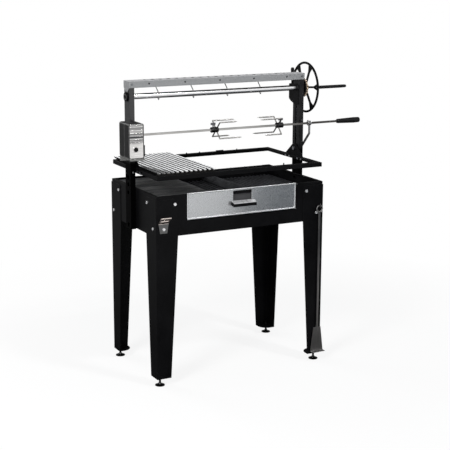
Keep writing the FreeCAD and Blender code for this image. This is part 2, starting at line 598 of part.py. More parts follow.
def drawer_box():
    """Open tray with its floor on the runners."""
    back, high = "front_back + drawer_deep", "drawer_low + drawer_tall"
    outer = box(("-drawer_x", "drawer_x"), ("front_back", back), ("drawer_low", high))
    inner = box(("-drawer_x + drawer_gauge", "drawer_x - drawer_gauge"),
                ("front_back + drawer_gauge", f"{back} - drawer_gauge"),
                ("drawer_low + drawer_gauge", f"{high} + {PAST}"))
    return cut(outer, [inner])


def drawer_front():
    """Bright front plate with rolled edges and a window for the pull."""
    plate = box(("-front_x", "front_x"), ("front_face", "front_back"), ("front_low", "front_top"))
    hems = [rod("x", ("front_face", level), "hem_round", ("-front_x", "front_x"))
            for level in ("front_top - hem_round", "front_low + hem_round")]
    hems += [rod("z", (place, "front_face"), "hem_round", ("front_low", "front_top"))
             for place in ("-front_x + hem_round", "front_x - hem_round")]
    behind = box((f"-front_x - {PAST}", f"front_x + {PAST}"), ("front_back", "front_back + hem_round"),
                 (f"front_low - {PAST}", f"front_top + {PAST}"))
    window = box(span_about("0", "window_wide / 2"), (f"front_face - {PAST}", f"front_back + {PAST}"),
                 ("window_low", "window_top"))
    return cut(join([plate] + hems), [behind, window])


def drawer_handle():
    """Pull folded from sheet: a flange under the window, a sloping ledge, a lip and two end cheeks."""
    half, top = "pull_wide / 2", "window_low - hem_round / 3"
    lip_top, lip_back = f"{top} - pull_slope", "pull_front + pull_gauge"
    flange = box((minus(half), half), ("front_face - pull_gauge", "front_face"),
                 (f"{top} - pull_flange", top))
    ledge = prism("x", [("front_face", top), ("front_face", f"{top} - pull_gauge"),
                        ("pull_front", f"{lip_top} - pull_gauge"), ("pull_front", lip_top)],
                  (minus(half), half))
    lip = box((minus(half), half), ("pull_front", lip_back), (f"{lip_top} - pull_drop", lip_top))
    cheek = [("front_face", top), ("front_face", f"{top} - pull_flange"),
             (lip_back, f"{lip_top} - pull_drop"), (lip_back, lip_top)]
    cheeks = [prism("x", cheek, mirrored(hand, f"{half} - pull_gauge", half)) for hand in (-1, 1)]
    return join([flange, ledge, lip] + cheeks)


def window_pan():
    """Shallow pan behind the window, where fingertips go; open under the apron's top rail."""
    half, low, top = "window_wide / 2", "window_low - pan_gauge", "opening_top - drawer_gap"
    outer = box(span_about("0", f"{half} + pan_gauge"), ("front_back", "front_back + pan_deep"), (low, top))
    inner = box(span_about("0", half), (f"front_back - {PAST}", "front_back + pan_deep - pan_gauge"),
                ("window_low", f"{top} + {PAST}"))
    return cut(outer, [inner])


def build_drawer():
    sub_part("drawer_box", drawer_box())
    sub_part("drawer_front", drawer_front())
    sub_part("drawer_handle", drawer_handle(), window_pan())


# ---------------------------------------------------------------- legs and feet

CORNERS = [(-1, -1, "front_left"), (1, -1, "front_right"), (-1, 1, "back_left"), (1, 1, "back_right")]


def leg(hand, side):
    """Tapered leg folded round a corner of the firebox; hand is left or right, side front or back."""
    def face_outline(sign, corner):
        """Face from its folded edge inwards, straight beside the firebox and tapered below it."""
        return [(f"{sign} * {corner}", "leg_low"), (f"{sign} * {corner}", "leg_top"),
                (f"{sign} * ({corner} - leg_face)", "leg_top"),
                (f"{sign} * ({corner} - leg_face)", "firebox_low"),
                (f"{sign} * ({corner} - leg_toe)", "leg_low")]
    rounds = ("leg_corner_round", [2])
    end_span, side_span = mirrored(side, "box_y", "leg_y"), mirrored(hand, "box_x", "leg_x")
    faces = [prism("y", face_outline(hand, "leg_x"), end_span, rounds=rounds),
             prism("x", face_outline(side, "leg_y"), side_span, rounds=rounds)]
    tools = bores("y", end_bolt_places(hand), "bolt_hole", end_span)
    tools += bores("x", side_bolt_places(side), "bolt_hole", side_span)
    return cut(join(faces), tools)


def through_bolt(axis, side, place, seat, inner):
    """Round-headed bolt through a wall from its outside seat, and the nut on its inner face."""
    head = rod(axis, place, "bolt_head", mirrored(side, seat, f"{seat} + bolt_head_tall"))
    shank = rod(axis, place, "bolt_shank", mirrored(side, f"{inner} - nut_tall - shank_past_nut", seat))
    return [join([head, shank]), loose_nut(axis, side, place, inner)]


def loose_nut(axis, side, place, inner):
    """Nut against a wall's inner face."""
    span = mirrored(side, f"{inner} - nut_tall", inner)
    return cut(hexagon(axis, place, "nut_radius", span), bores(axis, [place], "nut_bore", span))


def leg_bolts():
    """Sixteen bolts and nuts that hold the legs; one also holds the bottle opener."""
    pieces = []
    for hand, side, name in CORNERS:
        for level, place in zip(("high", "low"), end_bolt_places(hand)):
            on_opener = (hand, side, level) == (-1, -1, "low")
            seat = "leg_y + opener_gauge" if on_opener else "leg_y"
            pieces += through_bolt("y", side, place, seat, "wall_y")
        for place in side_bolt_places(side):
            pieces += through_bolt("x", hand, place, "leg_x", "wall_x")
    return pieces


def foot_plate(hand, side):
    """Corner plate in a leg's toe with a round inner corner, and the nut welded on it for the foot's stem."""
    def place(along_x, along_y):
        return f"{hand} * (box_x - {along_x})", f"{side} * (box_y - {along_y})"
    far, top = "foot_plate_leg", "foot_plate_level + foot_plate_gauge"
    plate = prism("z", [place("0", "0"), place(far, "0"), place(far, far), place("0", far)],
                  ("foot_plate_level", top), rounds=("foot_plate_round", [2]))
    middle, nut_top = place("foot_inset", "foot_inset"), f"{top} + foot_nut_tall"
    nut = rod("z", middle, "foot_nut", (top, nut_top))
    return cut(join([plate, nut]), bores("z", [middle], "foot_stem + shaft_fit",
                                         ("foot_plate_level", nut_top)))


def levelling_foot(hand, side):
    """Disc foot with a coned hub, and its stem up through the leg's nut."""
    outline = [("0", "0"), ("0", "foot_disc"), ("foot_rim_tall", "foot_disc"),
               ("foot_hub_tall", "foot_nut"), ("foot_hub_tall + foot_cone", "foot_stem"),
               ("foot_top", "foot_stem"), ("foot_top", "0")]
    return turned("z", outline, (f"{hand} * (box_x - foot_inset)", f"{side} * (box_y - foot_inset)", "0"))


def bottle_opener():
    """Trapezoid plate folded out at the top into a slanted loop, with a tooth that catches a crown cap."""
    face = "-leg_y"
    toe_left, toe_right = span_about("opener_middle", "opener_toe / 2")
    top_left, top_right = span_about("opener_middle", "opener_wide / 2")
    plate = prism("y", [(toe_left, "opener_low"), (toe_right, "opener_low"),
                        (top_right, "opener_top"), (top_left, "opener_top")],
                  (f"{face} - opener_gauge", face))
    tip, tip_level = f"{face} - hood_reach", "opener_top + hood_rise"
    hood = prism("x", [(face, "opener_top - hood_drop"), (tip, f"{tip_level} - hood_drop"),
                       (tip, tip_level), (face, "opener_top")], (top_left, top_right))
    tall = (f"opener_top - hood_drop - {PAST}", f"{tip_level} + {PAST}")
    notch = box(span_about("opener_middle", "notch_half"),
                (f"{face} - notch_end", f"{face} - 1.5 * opener_gauge"), tall)
    loop = box(span_about("opener_middle", "opener_wide / 2 - mouth_margin"),
               (f"{tip} + mouth_margin", f"{face} - tooth_end"), tall)
    hole = bores("y", [("opener_middle", "leg_bolt_low")], "bolt_hole", (f"{face} - opener_gauge", face))
    return cut(join([plate, hood]), [notch, loop] + hole)


def build_legs():
    for hand, side, name in CORNERS:
        sub_part("leg_" + name, leg(hand, side))
        sub_part("levelling_foot_" + name, levelling_foot(hand, side))
    sub_part("foot_plates", *[foot_plate(hand, side) for hand, side, name in CORNERS])
    sub_part("leg_bolts", *leg_bolts())
    sub_part("bottle_opener", bottle_opener())


# ---------------------------------------------------------------- columns and crossbar

SUPPORT_BOLTS = [("0", "support_bolt_low"), ("0", "support_bolt_high")]
RIVETS = [("-column_in - rivet_inset", "rivet_level"),
          ("-column_in - rivet_inset - rivet_spacing", "rivet_level")]
WINCH = ("0", "winch_level")


def column(hand):
    """Rectangular tube with a guide slot in its inner face and access holes in its outer face."""
    tube = box(mirrored(hand, "column_in", "column_out"), ("-column_y", "column_y"),
               ("column_low", "column_top"))
    hollow = box(mirrored(hand, "column_bore", "column_bore_out"),
                 ("-column_y + column_wall", "column_y - column_wall"),
                 (f"column_low - {PAST}", f"column_top + {PAST}"))
    inner_wall = mirrored(hand, "column_in", "column_bore")
    outer_wall = mirrored(hand, "column_bore_out", "column_out")
    slot = box(mirrored(hand, f"column_in - {PAST}", f"column_bore + {PAST}"), ("-slot_half", "slot_half"),
               ("slot_low", "slot_top"))
    column_bolts = [("0", level) for level in COLUMN_BOLT_LEVELS]
    access = column_bolts + [("0", "access_low"), ("0", "access_high")]
    tools = [hollow, slot] + bores("x", access, "access_radius", outer_wall)
    tools += bores("x", column_bolts, "bolt_hole", inner_wall)
    for wall in (inner_wall, outer_wall):
        tools += bores("x", [WINCH], "bush_spigot + bush_seat_gap", wall)
    if hand > 0:
        tools += bores("x", SUPPORT_BOLTS, "rivet_radius + shaft_fit", outer_wall)
    else:
        tools += bores("y", RIVETS, "rivet_radius + shaft_fit", ("-column_y", "-column_y + column_wall"))
    return cut(tube, tools)


def column_bolts(hand):
    """Bolts from inside a column into the firebox, with nuts on the firebox's inside."""
    pieces = []
    for level in COLUMN_BOLT_LEVELS:
        through_ledge = hand < 0 and level == "column_bolt_high"
        inner = "wall_x - angle_gauge" if through_ledge else "wall_x"
        head = hexagon("x", ("0", level), "nut_radius",
                       mirrored(hand, "column_bore", "column_bore + nut_tall"))
        shank = rod("x", ("0", level), "bolt_shank",
                    mirrored(hand, f"{inner} - nut_tall - shank_past_nut", "column_bore"))
        pieces += [join([head, shank]), loose_nut("x", hand, ("0", level), inner)]
    return pieces


def column_fasteners():
    """Bolts between columns and firebox, crossbar screws, bracket rivets and the spit cradle's bolts."""
    pieces = column_bolts(-1) + column_bolts(1)
    for hand in (-1, 1):
        for side in (-1, 1):
            pieces.append(rod("y", (f"{hand} * column_middle", "crossbar_hole_level"), "crossbar_screw",
                              mirrored(side, "crossbar_y", "crossbar_y + crossbar_screw_tall")))
    pieces.append(rod("y", ("-column_middle", "stop_screw_level"), "cap_screw",
                      ("-column_y - cap_screw_tall", "-column_y")))
    pieces.append(rod("y", ("column_middle", "rest_screw_level"), "cap_screw",
                      ("-column_y - rest_screw_tall", "-column_y")))
    for place in RIVETS:
        pieces.append(join([rod("y", place, "rivet_head", ("motor_back - rivet_head_tall", "motor_back")),
                            rod("y", place, "rivet_radius", ("motor_back", "-column_y + column_wall"))]))
    seat = "column_out + cradle_thick"
    for place in SUPPORT_BOLTS:
        pieces.append(join([rod("x", place, "support_bolt_head", (seat, f"{seat} + support_bolt_head_tall")),
                            rod("x", place, "rivet_radius", ("column_bore_out", seat))]))
    return pieces


def crossbar():
    """Channel over both columns with a slotted top, and a tapered tab down the outside of each column."""
    low, wide = "crossbar_top - crossbar_tall", ("-crossbar_x", "crossbar_x")
    parts = [box(wide, ("-crossbar_y", "crossbar_y"), ("column_top", "crossbar_top"))]
    for side in (-1, 1):
        parts.append(box(wide, mirrored(side, "column_y", "crossbar_y"), (low, "crossbar_top")))
    for hand in (-1, 1):
        parts.append(prism("x", [("-crossbar_y", "crossbar_top"), ("crossbar_y", "crossbar_top"),
                                 ("crossbar_y", low), ("tab_tip / 2", "tab_low"),
                                 ("-tab_tip / 2", "tab_low"), ("-crossbar_y", low)],
                           mirrored(hand, "column_out", "crossbar_x")))
    tools = []
    for number in range(int(value("crossbar_slot_count"))):
        middle = f"({number} - (crossbar_slot_count - 1) / 2) * crossbar_slot_pitch"
        tools.append(box(span_about(middle, "crossbar_slot_wide / 2"),
                         span_about("crossbar_slot_back", "crossbar_slot_long / 2"),
                         (f"column_top - {PAST}", f"crossbar_top + {PAST}")))
    holes = [(f"{number} * crossbar_hole_pitch", "crossbar_hole_level") for number in range(-2, 3)]
    tools += bores("y", holes, "crossbar_hole", ("-crossbar_y", "crossbar_y"))
    return cut(join(parts), tools)


def utensil_hook(number):
    """Wire hook welded inside the crossbar's back flange; it passes behind the shaft."""
    back, low = "column_y - hook_wire", "crossbar_top - crossbar_tall"
    behind = "shaft_radius + hook_wire + hook_clear"
    bottom = "winch_level - hook_drop"
    place = f"hook_first + {number} * hook_pitch"
    start = f"{place} - hook_lean"
    route = [(start, back, f"{low} + hook_weld"), (start, back, low),
             (place, behind, "winch_level + hook_bend"),
             (place, behind, bottom), (place, f"{behind} - hook_tip", f"{bottom} - 2 * hook_wire"),
             (place, f"{behind} - 2 * hook_tip", bottom)]
    return wire_rod(route, "hook_wire")


def tool_peg():
    """Peg with an upturned end on the right front leg, where the ash tool hangs."""
    end = "-leg_y - tool_standoff - 2 * ring_wire - peg_past"
    return join([rod("y", ("tool_place", "peg_level"), "peg_radius", (end, "-leg_y")),
                 rod("z", ("tool_place", end), "peg_radius", ("peg_level", "peg_level + peg_rise")),
                 ball(("tool_place", end, "peg_level"), "peg_radius"),
                 ball(("tool_place", end, "peg_level + peg_rise"), "peg_radius")])


def spit_cradle():
    """Bent strap up from the right column to an open fork that carries the spit's bush."""
    x = ("column_out", "column_out + cradle_thick")
    wide_x = (f"column_out - {PAST}", f"column_out + cradle_thick + {PAST}")
    inner = "bush_groove + cradle_gap"
    outer = f"{inner} + cradle_arm"
    top = "spit_level + cradle_tall"
    fork = cut(join([rod("x", SPIT, outer, x), box(x, span_about("spit_line", outer), ("spit_level", top))]),
               [box(wide_x, span_about("spit_line", inner), ("spit_level", f"{top} + {PAST}")),
                rod("x", SPIT, inner, wide_x)])
    bend = "spit_line - strap_lean"
    route = SUPPORT_BOLTS + [(bend, "spit_level - strap_drop"),
                             (bend, f"spit_level - {inner} - cradle_arm / 2")]
    pieces = [fork] + [rod("x", place, "strap_half", x) for place in route[:3]]
    pieces += [strap_run(start, end, x) for start, end in zip(route, route[1:])]
    return cut(join(pieces), bores("x", SUPPORT_BOLTS, "rivet_radius + shaft_fit", x))


def strap_run(start, end, x):
    """Straight flat length of the strap between two (y, z) places."""
    first = FreeCAD.Vector(0, value(start[0]), value(start[1]))
    run = FreeCAD.Vector(0, value(end[0]), value(end[1])) - first
    across = FreeCAD.Vector(0, -run.z, run.y).normalize() * value("strap_half")
    corners = [first + across, first - across, first + run - across, first + run + across]
    return prism("x", [(str(corner.y), str(corner.z)) for corner in corners], x)


def build_columns():
    sub_part("column_left", column(-1))
    sub_part("column_right", column(1))
    sub_part("column_fasteners", *column_fasteners())
    sub_part("crossbar", crossbar())
    sub_part("wire_hooks", *[utensil_hook(number) for number in range(int(value("hook_count")))], tool_peg())
    sub_part("spit_cradle", spit_cradle())


# ---------------------------------------------------------------- winch

RATCHET_RADIUS = "(chain_pitch / (2 * sin(180 / ratchet_links)))"
HUB_END = "(wheel_place + hub_long / 2)"
GRIP_START = f"({HUB_END} - pin_boss_back + running_gap)"
GRIP = ("-(grip_orbit * cos(first_spoke_angle))", "(winch_level + grip_orbit * sin(first_spoke_angle))")


def shaft_bushes():
    """Bushes at the inner and outer walls of both columns."""
    bushes = []
    for hand in (-1, 1):
        for flange, spigot in ((("column_in - plate_gauge", "column_in"),
                                ("column_in", "column_in + bush_spigot_long")),
                               (("column_out", "bush_end"), ("column_out - bush_spigot_long", "column_out"))):
            solid = join([rod("x", WINCH, "bush_flange", mirrored(hand, *flange)),
                          rod("x", WINCH, "bush_spigot", mirrored(hand, *spigot))])
            through = mirrored(hand, "column_in - plate_gauge", "bush_end")
            bushes.append(cut(solid, bores("x", [WINCH], "shaft_radius + shaft_fit", through)))
    return bushes


def bearing_plate():
    """Plate on the right column's inner face round the inner bush; it carries the lever's pivot."""
    front, back = "-column_y + column_wall", "lever_back + plate_behind"
    low, high = "pivot_level - plate_below", "winch_level + plate_above"
    x = ("column_in - plate_gauge", "column_in")
    plate = prism("x", [(front, high), (back, high), (back, "pivot_level"),
                        ("lever_back - plate_round", "pivot_level - plate_below / 2"),
                        ("slot_half + plate_slot_gap", low), (front, low)], x,
                  rounds=("plate_round", [1, 2, 3]))
    pivot = rod("x", PIVOT, "pivot_radius", ("column_in", "lever_place + lever_thick + column_wall"))
    return join([cut(plate, bores("x", [WINCH], "bush_flange + bush_seat_gap", x)), pivot])


def link_row(centres, closed):
    """Roller chain through the roller centres, fused into one shape."""
    half_inner, plate = value("chain_inner") / 2, value("chain_plate")
    along_x = FreeCAD.Vector(1, 0, 0)
    solids = []
    for centre in centres:
        for radius, reach in ((value("chain_roller"), half_inner),
                              (value("chain_pin"), half_inner + 2 * plate)):
            solids.append(Part.makeCylinder(radius, 2 * reach, centre - along_x * reach, along_x))
    ends = centres[1:] + centres[:1] if closed else centres[1:]
    for number, (first, second) in enumerate(zip(centres, ends)):
        start = half_inner + (number % 2) * plate
        solids += [link_plate(first, second, side) for side in (start, -start - plate)]
    return solids[0].fuse(solids[1:]).removeSplitter()


def link_plate(first, second, x_start):
    """Waisted link plate between two roller centres."""
    thick, round_end = value("chain_plate"), value("chain_plate_round")
    along_x = FreeCAD.Vector(1, 0, 0)
    offset = along_x * x_start
    ends = [Part.makeCylinder(round_end, thick, centre + offset, along_x) for centre in (first, second)]
    across = along_x.cross(second - first).normalize() * round_end * value("chain_waist")
    corners = [first + across, second + across, second - across, first - across, first + across]
    waist = Part.Face(Part.makePolygon([corner + offset for corner in corners])).extrude(along_x * thick)
    return ends[0].fuse([ends[1], waist])


def chain_feature(shape, centre):
    """Chain shape in the document, placed by formulas."""
    feature = doc.addObject("Part::Feature", "chain")
    feature.Shape = shape
    for name, place in zip("xyz", centre):
        feature.setExpression("Placement.Base." + name, formula(place))
    return feature


def ratchet_chain():
    """Loop of roller chain tight round the ratchet disc."""
    radius, count = value(RATCHET_RADIUS), int(value("ratchet_links"))
    angles = [2 * math.pi * number / count for number in range(count)]
    centres = [FreeCAD.Vector(0, radius * math.cos(angle), radius * math.sin(angle)) for angle in angles]
    return chain_feature(link_row(centres, True), ("ratchet_middle", "0", "winch_level"))


def lift_chain(hand):
    """Chain from the lift drum down to the slider inside a column."""
    fall = value("winch_level - slider_top - running_gap - chain_plate_round")
    count = int(fall / value("chain_pitch"))
    centres = [FreeCAD.Vector(0, 0, -number * fall / count) for number in range(count + 1)]
    line = "drum_radius + chain_roller + shaft_fit"
    return chain_feature(link_row(centres, False), (f"{hand} * column_middle", line, "winch_level"))


def lift_drum(hand):
    """Drum on the shaft inside a column; the lift chain winds on it."""
    span = span_about(f"{hand} * column_middle", "drum_wide / 2")
    return cut(rod("x", WINCH, "drum_radius", span), bores("x", [WINCH], "shaft_radius + shaft_fit", span))


def ratchet_disc():
    """Disc inside the chain loop, on a hub between the outer bush and the handwheel."""
    disc = rod("x", WINCH, f"{RATCHET_RADIUS} - chain_roller - shaft_fit",
               span_about("ratchet_middle", "chain_inner / 2 - shaft_fit"))
    span = ("bush_end + running_gap", "wheel_place - hub_long / 2")
    return cut(join([disc, rod("x", WINCH, "hub_radius", span)]),
               bores("x", [WINCH], "shaft_radius + shaft_fit", span))


def handwheel():
    """Spoked wheel: turned rim and hub, and one flared spoke repeated round the axis."""
    body = doc.addObject("PartDesign::Body", "wheel")
    plane = next(item for item in body.Origin.OriginFeatures if item.Role == "XZ_Plane")
    section = body.newObject("Sketcher::SketchObject", "rim_section")
    section.AttachmentSupport = (plane, [""])
    section.MapMode = "FlatFace"
    add_circle(section, "0", "wheel_radius", "rim_radius")
    rim = body.newObject("PartDesign::Revolution", "rim")
    rim.Profile = section
    rim.ReferenceAxis = (section, ["H_Axis"])
    rim.Angle = 360
    near, far = "hub_radius + 2 * rim_radius", "wheel_radius - 6 * rim_radius"
    right_edge = [("spoke_root", "hub_radius - rim_radius"), ("spoke_waist", near), ("spoke_waist", far),
                  ("spoke_toe", "wheel_radius")]
    left_edge = [(minus(u), v) for u, v in reversed(right_edge)]
    spoke_sketch = sketch_on(body, "x", right_edge + left_edge)
    spoke_sketch.setExpression("AttachmentOffset.Base.z", formula("-spoke_thick / 2"))
    spoke = body.newObject("PartDesign::Pad", "spoke")
    spoke.Profile = spoke_sketch
    spoke.setExpression("Length", formula("spoke_thick"))
    spokes = body.newObject("PartDesign::PolarPattern", "spokes")
    spokes.Originals = [spoke]
    spokes.Axis = (next(item for item in body.Origin.OriginFeatures if item.Role == "X_Axis"), [""])
    spokes.Angle = 360
    spokes.setExpression("Occurrences", formula("spoke_count"))
    body.Tip = spokes
    hub_span = span_about("0", "hub_long / 2")
    hub = rod("x", ("0", "0"), "hub_radius", hub_span)
    boss = rod("x", ("0", "grip_orbit"), "pin_boss", ("-spoke_thick / 2", "hub_long / 2 - pin_boss_back"))
    tools = bores("x", [("0", "0")], "shaft_radius + shaft_fit", hub_span)
    tools += bores("x", [("0", "grip_orbit")], "pin_radius + shaft_fit", hub_span)
    wheel = cut(join([body, hub, boss]), tools)
    upright_to_front = FreeCAD.Rotation(FreeCAD.Vector(1, 0, 0), 90 - value("first_spoke_angle"))
    wheel.Placement = FreeCAD.Placement(FreeCAD.Vector(), upright_to_front)
    for name, place in zip("xyz", ("wheel_place",) + WINCH):
        wheel.setExpression("Placement.Base." + name, formula(place))
    return wheel


def cap_nut():
    """Domed nut on the winch shaft's end."""
    return rod("x", WINCH, "hub_radius - cap_nut_inset", (HUB_END, f"{HUB_END} + cap_nut_long"),
               "hub_radius - 2 * cap_nut_inset")


def grip_pin():
    """Shouldered pin that the grip spins on."""
    end = f"{GRIP_START} + grip_long + running_gap"
    return join([rod("x", GRIP, "pin_radius", ("wheel_place - spoke_thick / 2", end)),
                 rod("x", GRIP, "pin_head", (end, f"{end} + pin_head_long"))])


def crank_grip():
    """Slim grip that spins on its pin."""
    fit = "pin_radius + shaft_fit"
    outline = [("0", fit), ("0", "grip_radius - grip_step"), ("grip_step_long", "grip_radius"),
               ("grip_long - grip_taper_long", "grip_radius"), ("grip_long", "grip_radius - grip_taper"),
               ("grip_long", fit)]
    return turned("x", outline, (GRIP_START,) + GRIP, rounds=("grip_edge", [1, 4]))


PIVOT = ("lever_back", "pivot_level")


def lock_lever():
    """Flat lever behind the right column, with a nose that reaches the chain ring."""
    x = ("lever_place", "lever_place + lever_thick")
    front, back = span_about("lever_back", "lever_wide / 2")
    low, waist = "pivot_level - lever_tail", "pivot_level + lever_straight"
    top = "knob_low + knob_seat"
    blade = prism("x", [(front, low), (back, low), (back, waist), (f"{back} - lever_taper", top),
                        (f"{front} + lever_taper", top), (front, waist)], x, rounds=("lever_round", [0, 1]))
    tip = f"({RATCHET_RADIUS} + chain_plate_round + nose_gap)"
    nose_left, nose_right = span_about("ratchet_middle", "nose_tip")
    tip_left, tip_right = span_about("ratchet_middle", "nose_tip / 2")
    arm = box(("lever_place", nose_right), (f"{tip} + nose_long / 2", f"{back} - nose_long"),
              span_about("winch_level", "arm_tall / 2"))
    nose = prism("z", [(nose_left, f"{tip} + nose_long"), (tip_left, tip), (tip_right, tip),
                       (nose_right, f"{tip} + nose_long")],
                 span_about("winch_level", "nose_tall / 2"))
    return cut(join([blade, arm, nose]), bores("x", [PIVOT], "pivot_radius + shaft_fit", x))


def lock_knob():
    """Ball-ended knob pressed on the lever."""
    thin, middle = "knob_radius - 2 * knob_step", "knob_radius - knob_step"
    outline = [("0", "0"), ("0", thin), ("knob_foot", middle), ("knob_tall - knob_head", "knob_radius"),
               ("knob_tall", thin), ("knob_tall", "0")]
    knob = turned("z", outline, ("lever_place + lever_thick / 2", "lever_back", "knob_low"),
                  rounds=("knob_head / 2", [4]))
    seat = box(("lever_place - spit_fit", "lever_place + lever_thick + spit_fit"),
               span_about("lever_back", "lever_wide / 2 - lever_taper + 3 * spit_fit"),
               (f"knob_low - {PAST}", "knob_low + knob_seat + spit_fit"))
    return cut(knob, [seat])


def build_winch():
    sub_part("shaft_bushes", *shaft_bushes())
    sub_part("bearing_plate", bearing_plate())
    shaft_span = ("-shaft_end", HUB_END)
    sub_part("winch_shaft", cut(rod("x", WINCH, "shaft_radius", shaft_span),
                                bores("x", [WINCH], "shaft_bore", shaft_span)))
    sub_part("lift_drums", lift_drum(-1), lift_drum(1))
    sub_part("ratchet_disc", ratchet_disc())
    sub_part("ratchet_chain", ratchet_chain())
    sub_part("handwheel", handwheel())
    sub_part("wheel_fasteners", cap_nut(), grip_pin())
    sub_part("crank_grip", crank_grip())
    sub_part("lock_lever", lock_lever())
    sub_part("lock_knob", lock_knob())


# ---------------------------------------------------------------- grill frame

GUSSET_BOLTS = [(f"{sign} * {place}", "gusset_bolt_level")
                for place in ("gusset_bolt_inner", "gusset_bolt_outer") for sign in (-1, 1)]
SLIDE_BOLT = ("0", "slide_bolt_level")


def grill_frame():
    """Rectangular frame of angle, its flat leg on top and inwards, with small lugs at front and back."""
    outer = box(("-frame_x", "frame_x"), ("-frame_y", "frame_y"), ("frame_low", "frame_top"))
    hollow = box(("-frame_x + frame_gauge", "frame_x - frame_gauge"),
                 ("-frame_y + frame_gauge", "frame_y - frame_gauge"),
                 (f"frame_low - {PAST}", "frame_top - frame_gauge"))
    mouth = box(("-frame_x + frame_flange", "frame_x - frame_flange"),
                ("-frame_y + frame_flange", "frame_y - frame_flange"),
                (f"frame_low - {PAST}", f"frame_top + {PAST}"))
    tools = [hollow, mouth]
    for hand in (-1, 1):
        tools += bores("x", GUSSET_BOLTS, "bolt_hole", mirrored(hand, "frame_x - frame_gauge", "frame_x"))
    lugs = []
    for side in (-1, 1):
        y = mirrored(side, "frame_y - frame_flange", "frame_y - frame_flange + frame_gauge")
        for place, wide in (("lug_first", "lug_thin"), ("lug_second", "lug_thin"), ("lug_third", "lug_wide"),
                            ("lug_fourth", "lug_thin")):
            lugs.append(box(span_about(place, f"{wide} / 2"), y,
                            ("frame_top - frame_gauge", "frame_top + lug_tall")))
    return join([cut(outer, tools)] + lugs)


def gusset(hand):
    """Triangular plate that ties a side of the frame to the slider's bolt."""
    shoulder = "frame_top - gusset_edge_drop"
    outline = [("-gusset_half", "frame_low"), ("gusset_half", "frame_low"), ("gusset_half", shoulder),
               ("gusset_tip", "gusset_top"), ("-gusset_tip", "gusset_top"), ("-gusset_half", shoulder)]
    holes = [place + ("bolt_hole",) for place in GUSSET_BOLTS]
    holes.append(SLIDE_BOLT + ("slide_bolt_radius + shaft_fit",))
    return prism("x", outline, mirrored(hand, "frame_x", "frame_x + gusset_gauge"), holes=holes,
                 rounds=("gusset_round", [2, 3, 4, 5]))


def carriage_bolts():
    """Bolts and nuts of the two gussets, and the two bolts that run in the columns' slots."""
    pieces = []
    face, back = "frame_x - frame_gauge", "frame_x + gusset_gauge"
    for hand in (-1, 1):
        for place in GUSSET_BOLTS:
            pieces.append(join([
                rod("x", place, "gusset_bolt_head", mirrored(hand, f"{face} - gusset_bolt_head_tall", face)),
                rod("x", place, "bolt_shank", mirrored(hand, face, back)),
                hexagon("x", place, "nut_radius", mirrored(hand, back, f"{back} + gusset_nut_tall"))]))
        pieces.append(join([
            hexagon("x", SLIDE_BOLT, "slide_bolt_head",
                    mirrored(hand, "frame_x - slide_bolt_head_tall", "frame_x")),
            rod("x", SLIDE_BOLT, "slide_bolt_radius",
                mirrored(hand, "frame_x", "column_bore_out - slider_gap"))]))
    return pieces


def slider(hand):
    """Block that runs inside a column."""
    x = mirrored(hand, "column_bore + slider_gap", "column_bore_out - slider_gap")
    block = box(x, span_about("0", "column_y - column_wall - slider_gap"), ("slider_low", "slider_top"))
    return cut(block, bores("x", [SLIDE_BOLT], "slide_bolt_radius + shaft_fit", x))


def grate_channel(number):
    """V-shaped channel from front to back, open upwards."""
    middle = f"(grate_left + {number} * grate_pitch)"
    high, half = "grate_low + channel_tall", "channel_wide / 2"
    root_left, root_right = span_about(middle, "channel_root")
    left, right = span_about(middle, half)
    trough = "grate_low + channel_gauge"
    outline = [(left, high), (root_left, "grate_low"), (root_right, "grate_low"), (right, high),
               (f"{right} - channel_edge", high), (f"{middle} + channel_root / 3", trough),
               (f"{middle} - channel_root / 3", trough), (f"{left} + channel_edge", high)]
    return prism("y", outline, ("grate_front", "grate_back"))


def grill_grate():
    """Lift-off grate of V-shaped channels on three cross straps."""
    channels = [grate_channel(number) for number in range(int(value("grate_count")))]
    right = "grate_left + (grate_count - 1) * grate_pitch + channel_wide / 2"
    starts = ("grate_front", "-grate_strap / 2", "frame_y - frame_flange - grate_strap + back_strap_overlap")
    straps = [box(("grate_left - grate_strap_end", right), (start, f"{start} + grate_strap"),
                  ("strap_level", "grate_low")) for start in starts]
    return join(channels + straps)


def build_carriage():
    sub_part("grill_frame", grill_frame())
    sub_part("gusset_plates", gusset(-1), gusset(1))
    sub_part("carriage_bolts", *carriage_bolts())
    sub_part("sliders", slider(-1), slider(1))
    sub_part("lift_chains", lift_chain(-1), lift_chain(1))
    sub_part("grill_grate", grill_grate())


# ---------------------------------------------------------------- spit

SPIT = ("spit_line", "spit_level")


def square_bore(x):
    half = "spit_bar / 2 + spit_fit"
    return box(x, span_about("spit_line", half), span_about("spit_level", half))


def spit_handle():
    """Tapered handle on the spit's free end, with a shouldered front."""
    length = "handle_end - handle_start"
    outline = [("0", "0"), ("0", "handle_thin - handle_step"), ("handle_step_long", "handle_thin"),
               (f"({length}) * handle_swell", "handle_thick"), (length, "handle_thick - handle_tail"),
               (length, "0")]
    handle = turned("x", outline, ("handle_start",) + SPIT, rounds=("handle_edge", [4]))
    return cut(handle, [square_bore((f"handle_start - {PAST}", "handle_end - handle_buried + spit_fit"))])


def spit_bush():
    """Grooved bush on the spit that turns in the cradle."""
    start, long = "bush_place - bush_half", "2 * bush_half"
    side = "(bush_rim + bush_slope)"
    outline = [("0", "0"), ("0", "bush_radius"), ("bush_rim", "bush_radius"), (side, "bush_groove"),
               (f"{long} - {side}", "bush_groove"), (f"{long} - bush_rim", "bush_radius"),
               (long, "bush_radius"), (long, "0")]
    bush = turned("x", outline, (start,) + SPIT)
    return cut(bush, [square_bore((f"{start} - {PAST}", f"{start} + {long} + {PAST}"))])


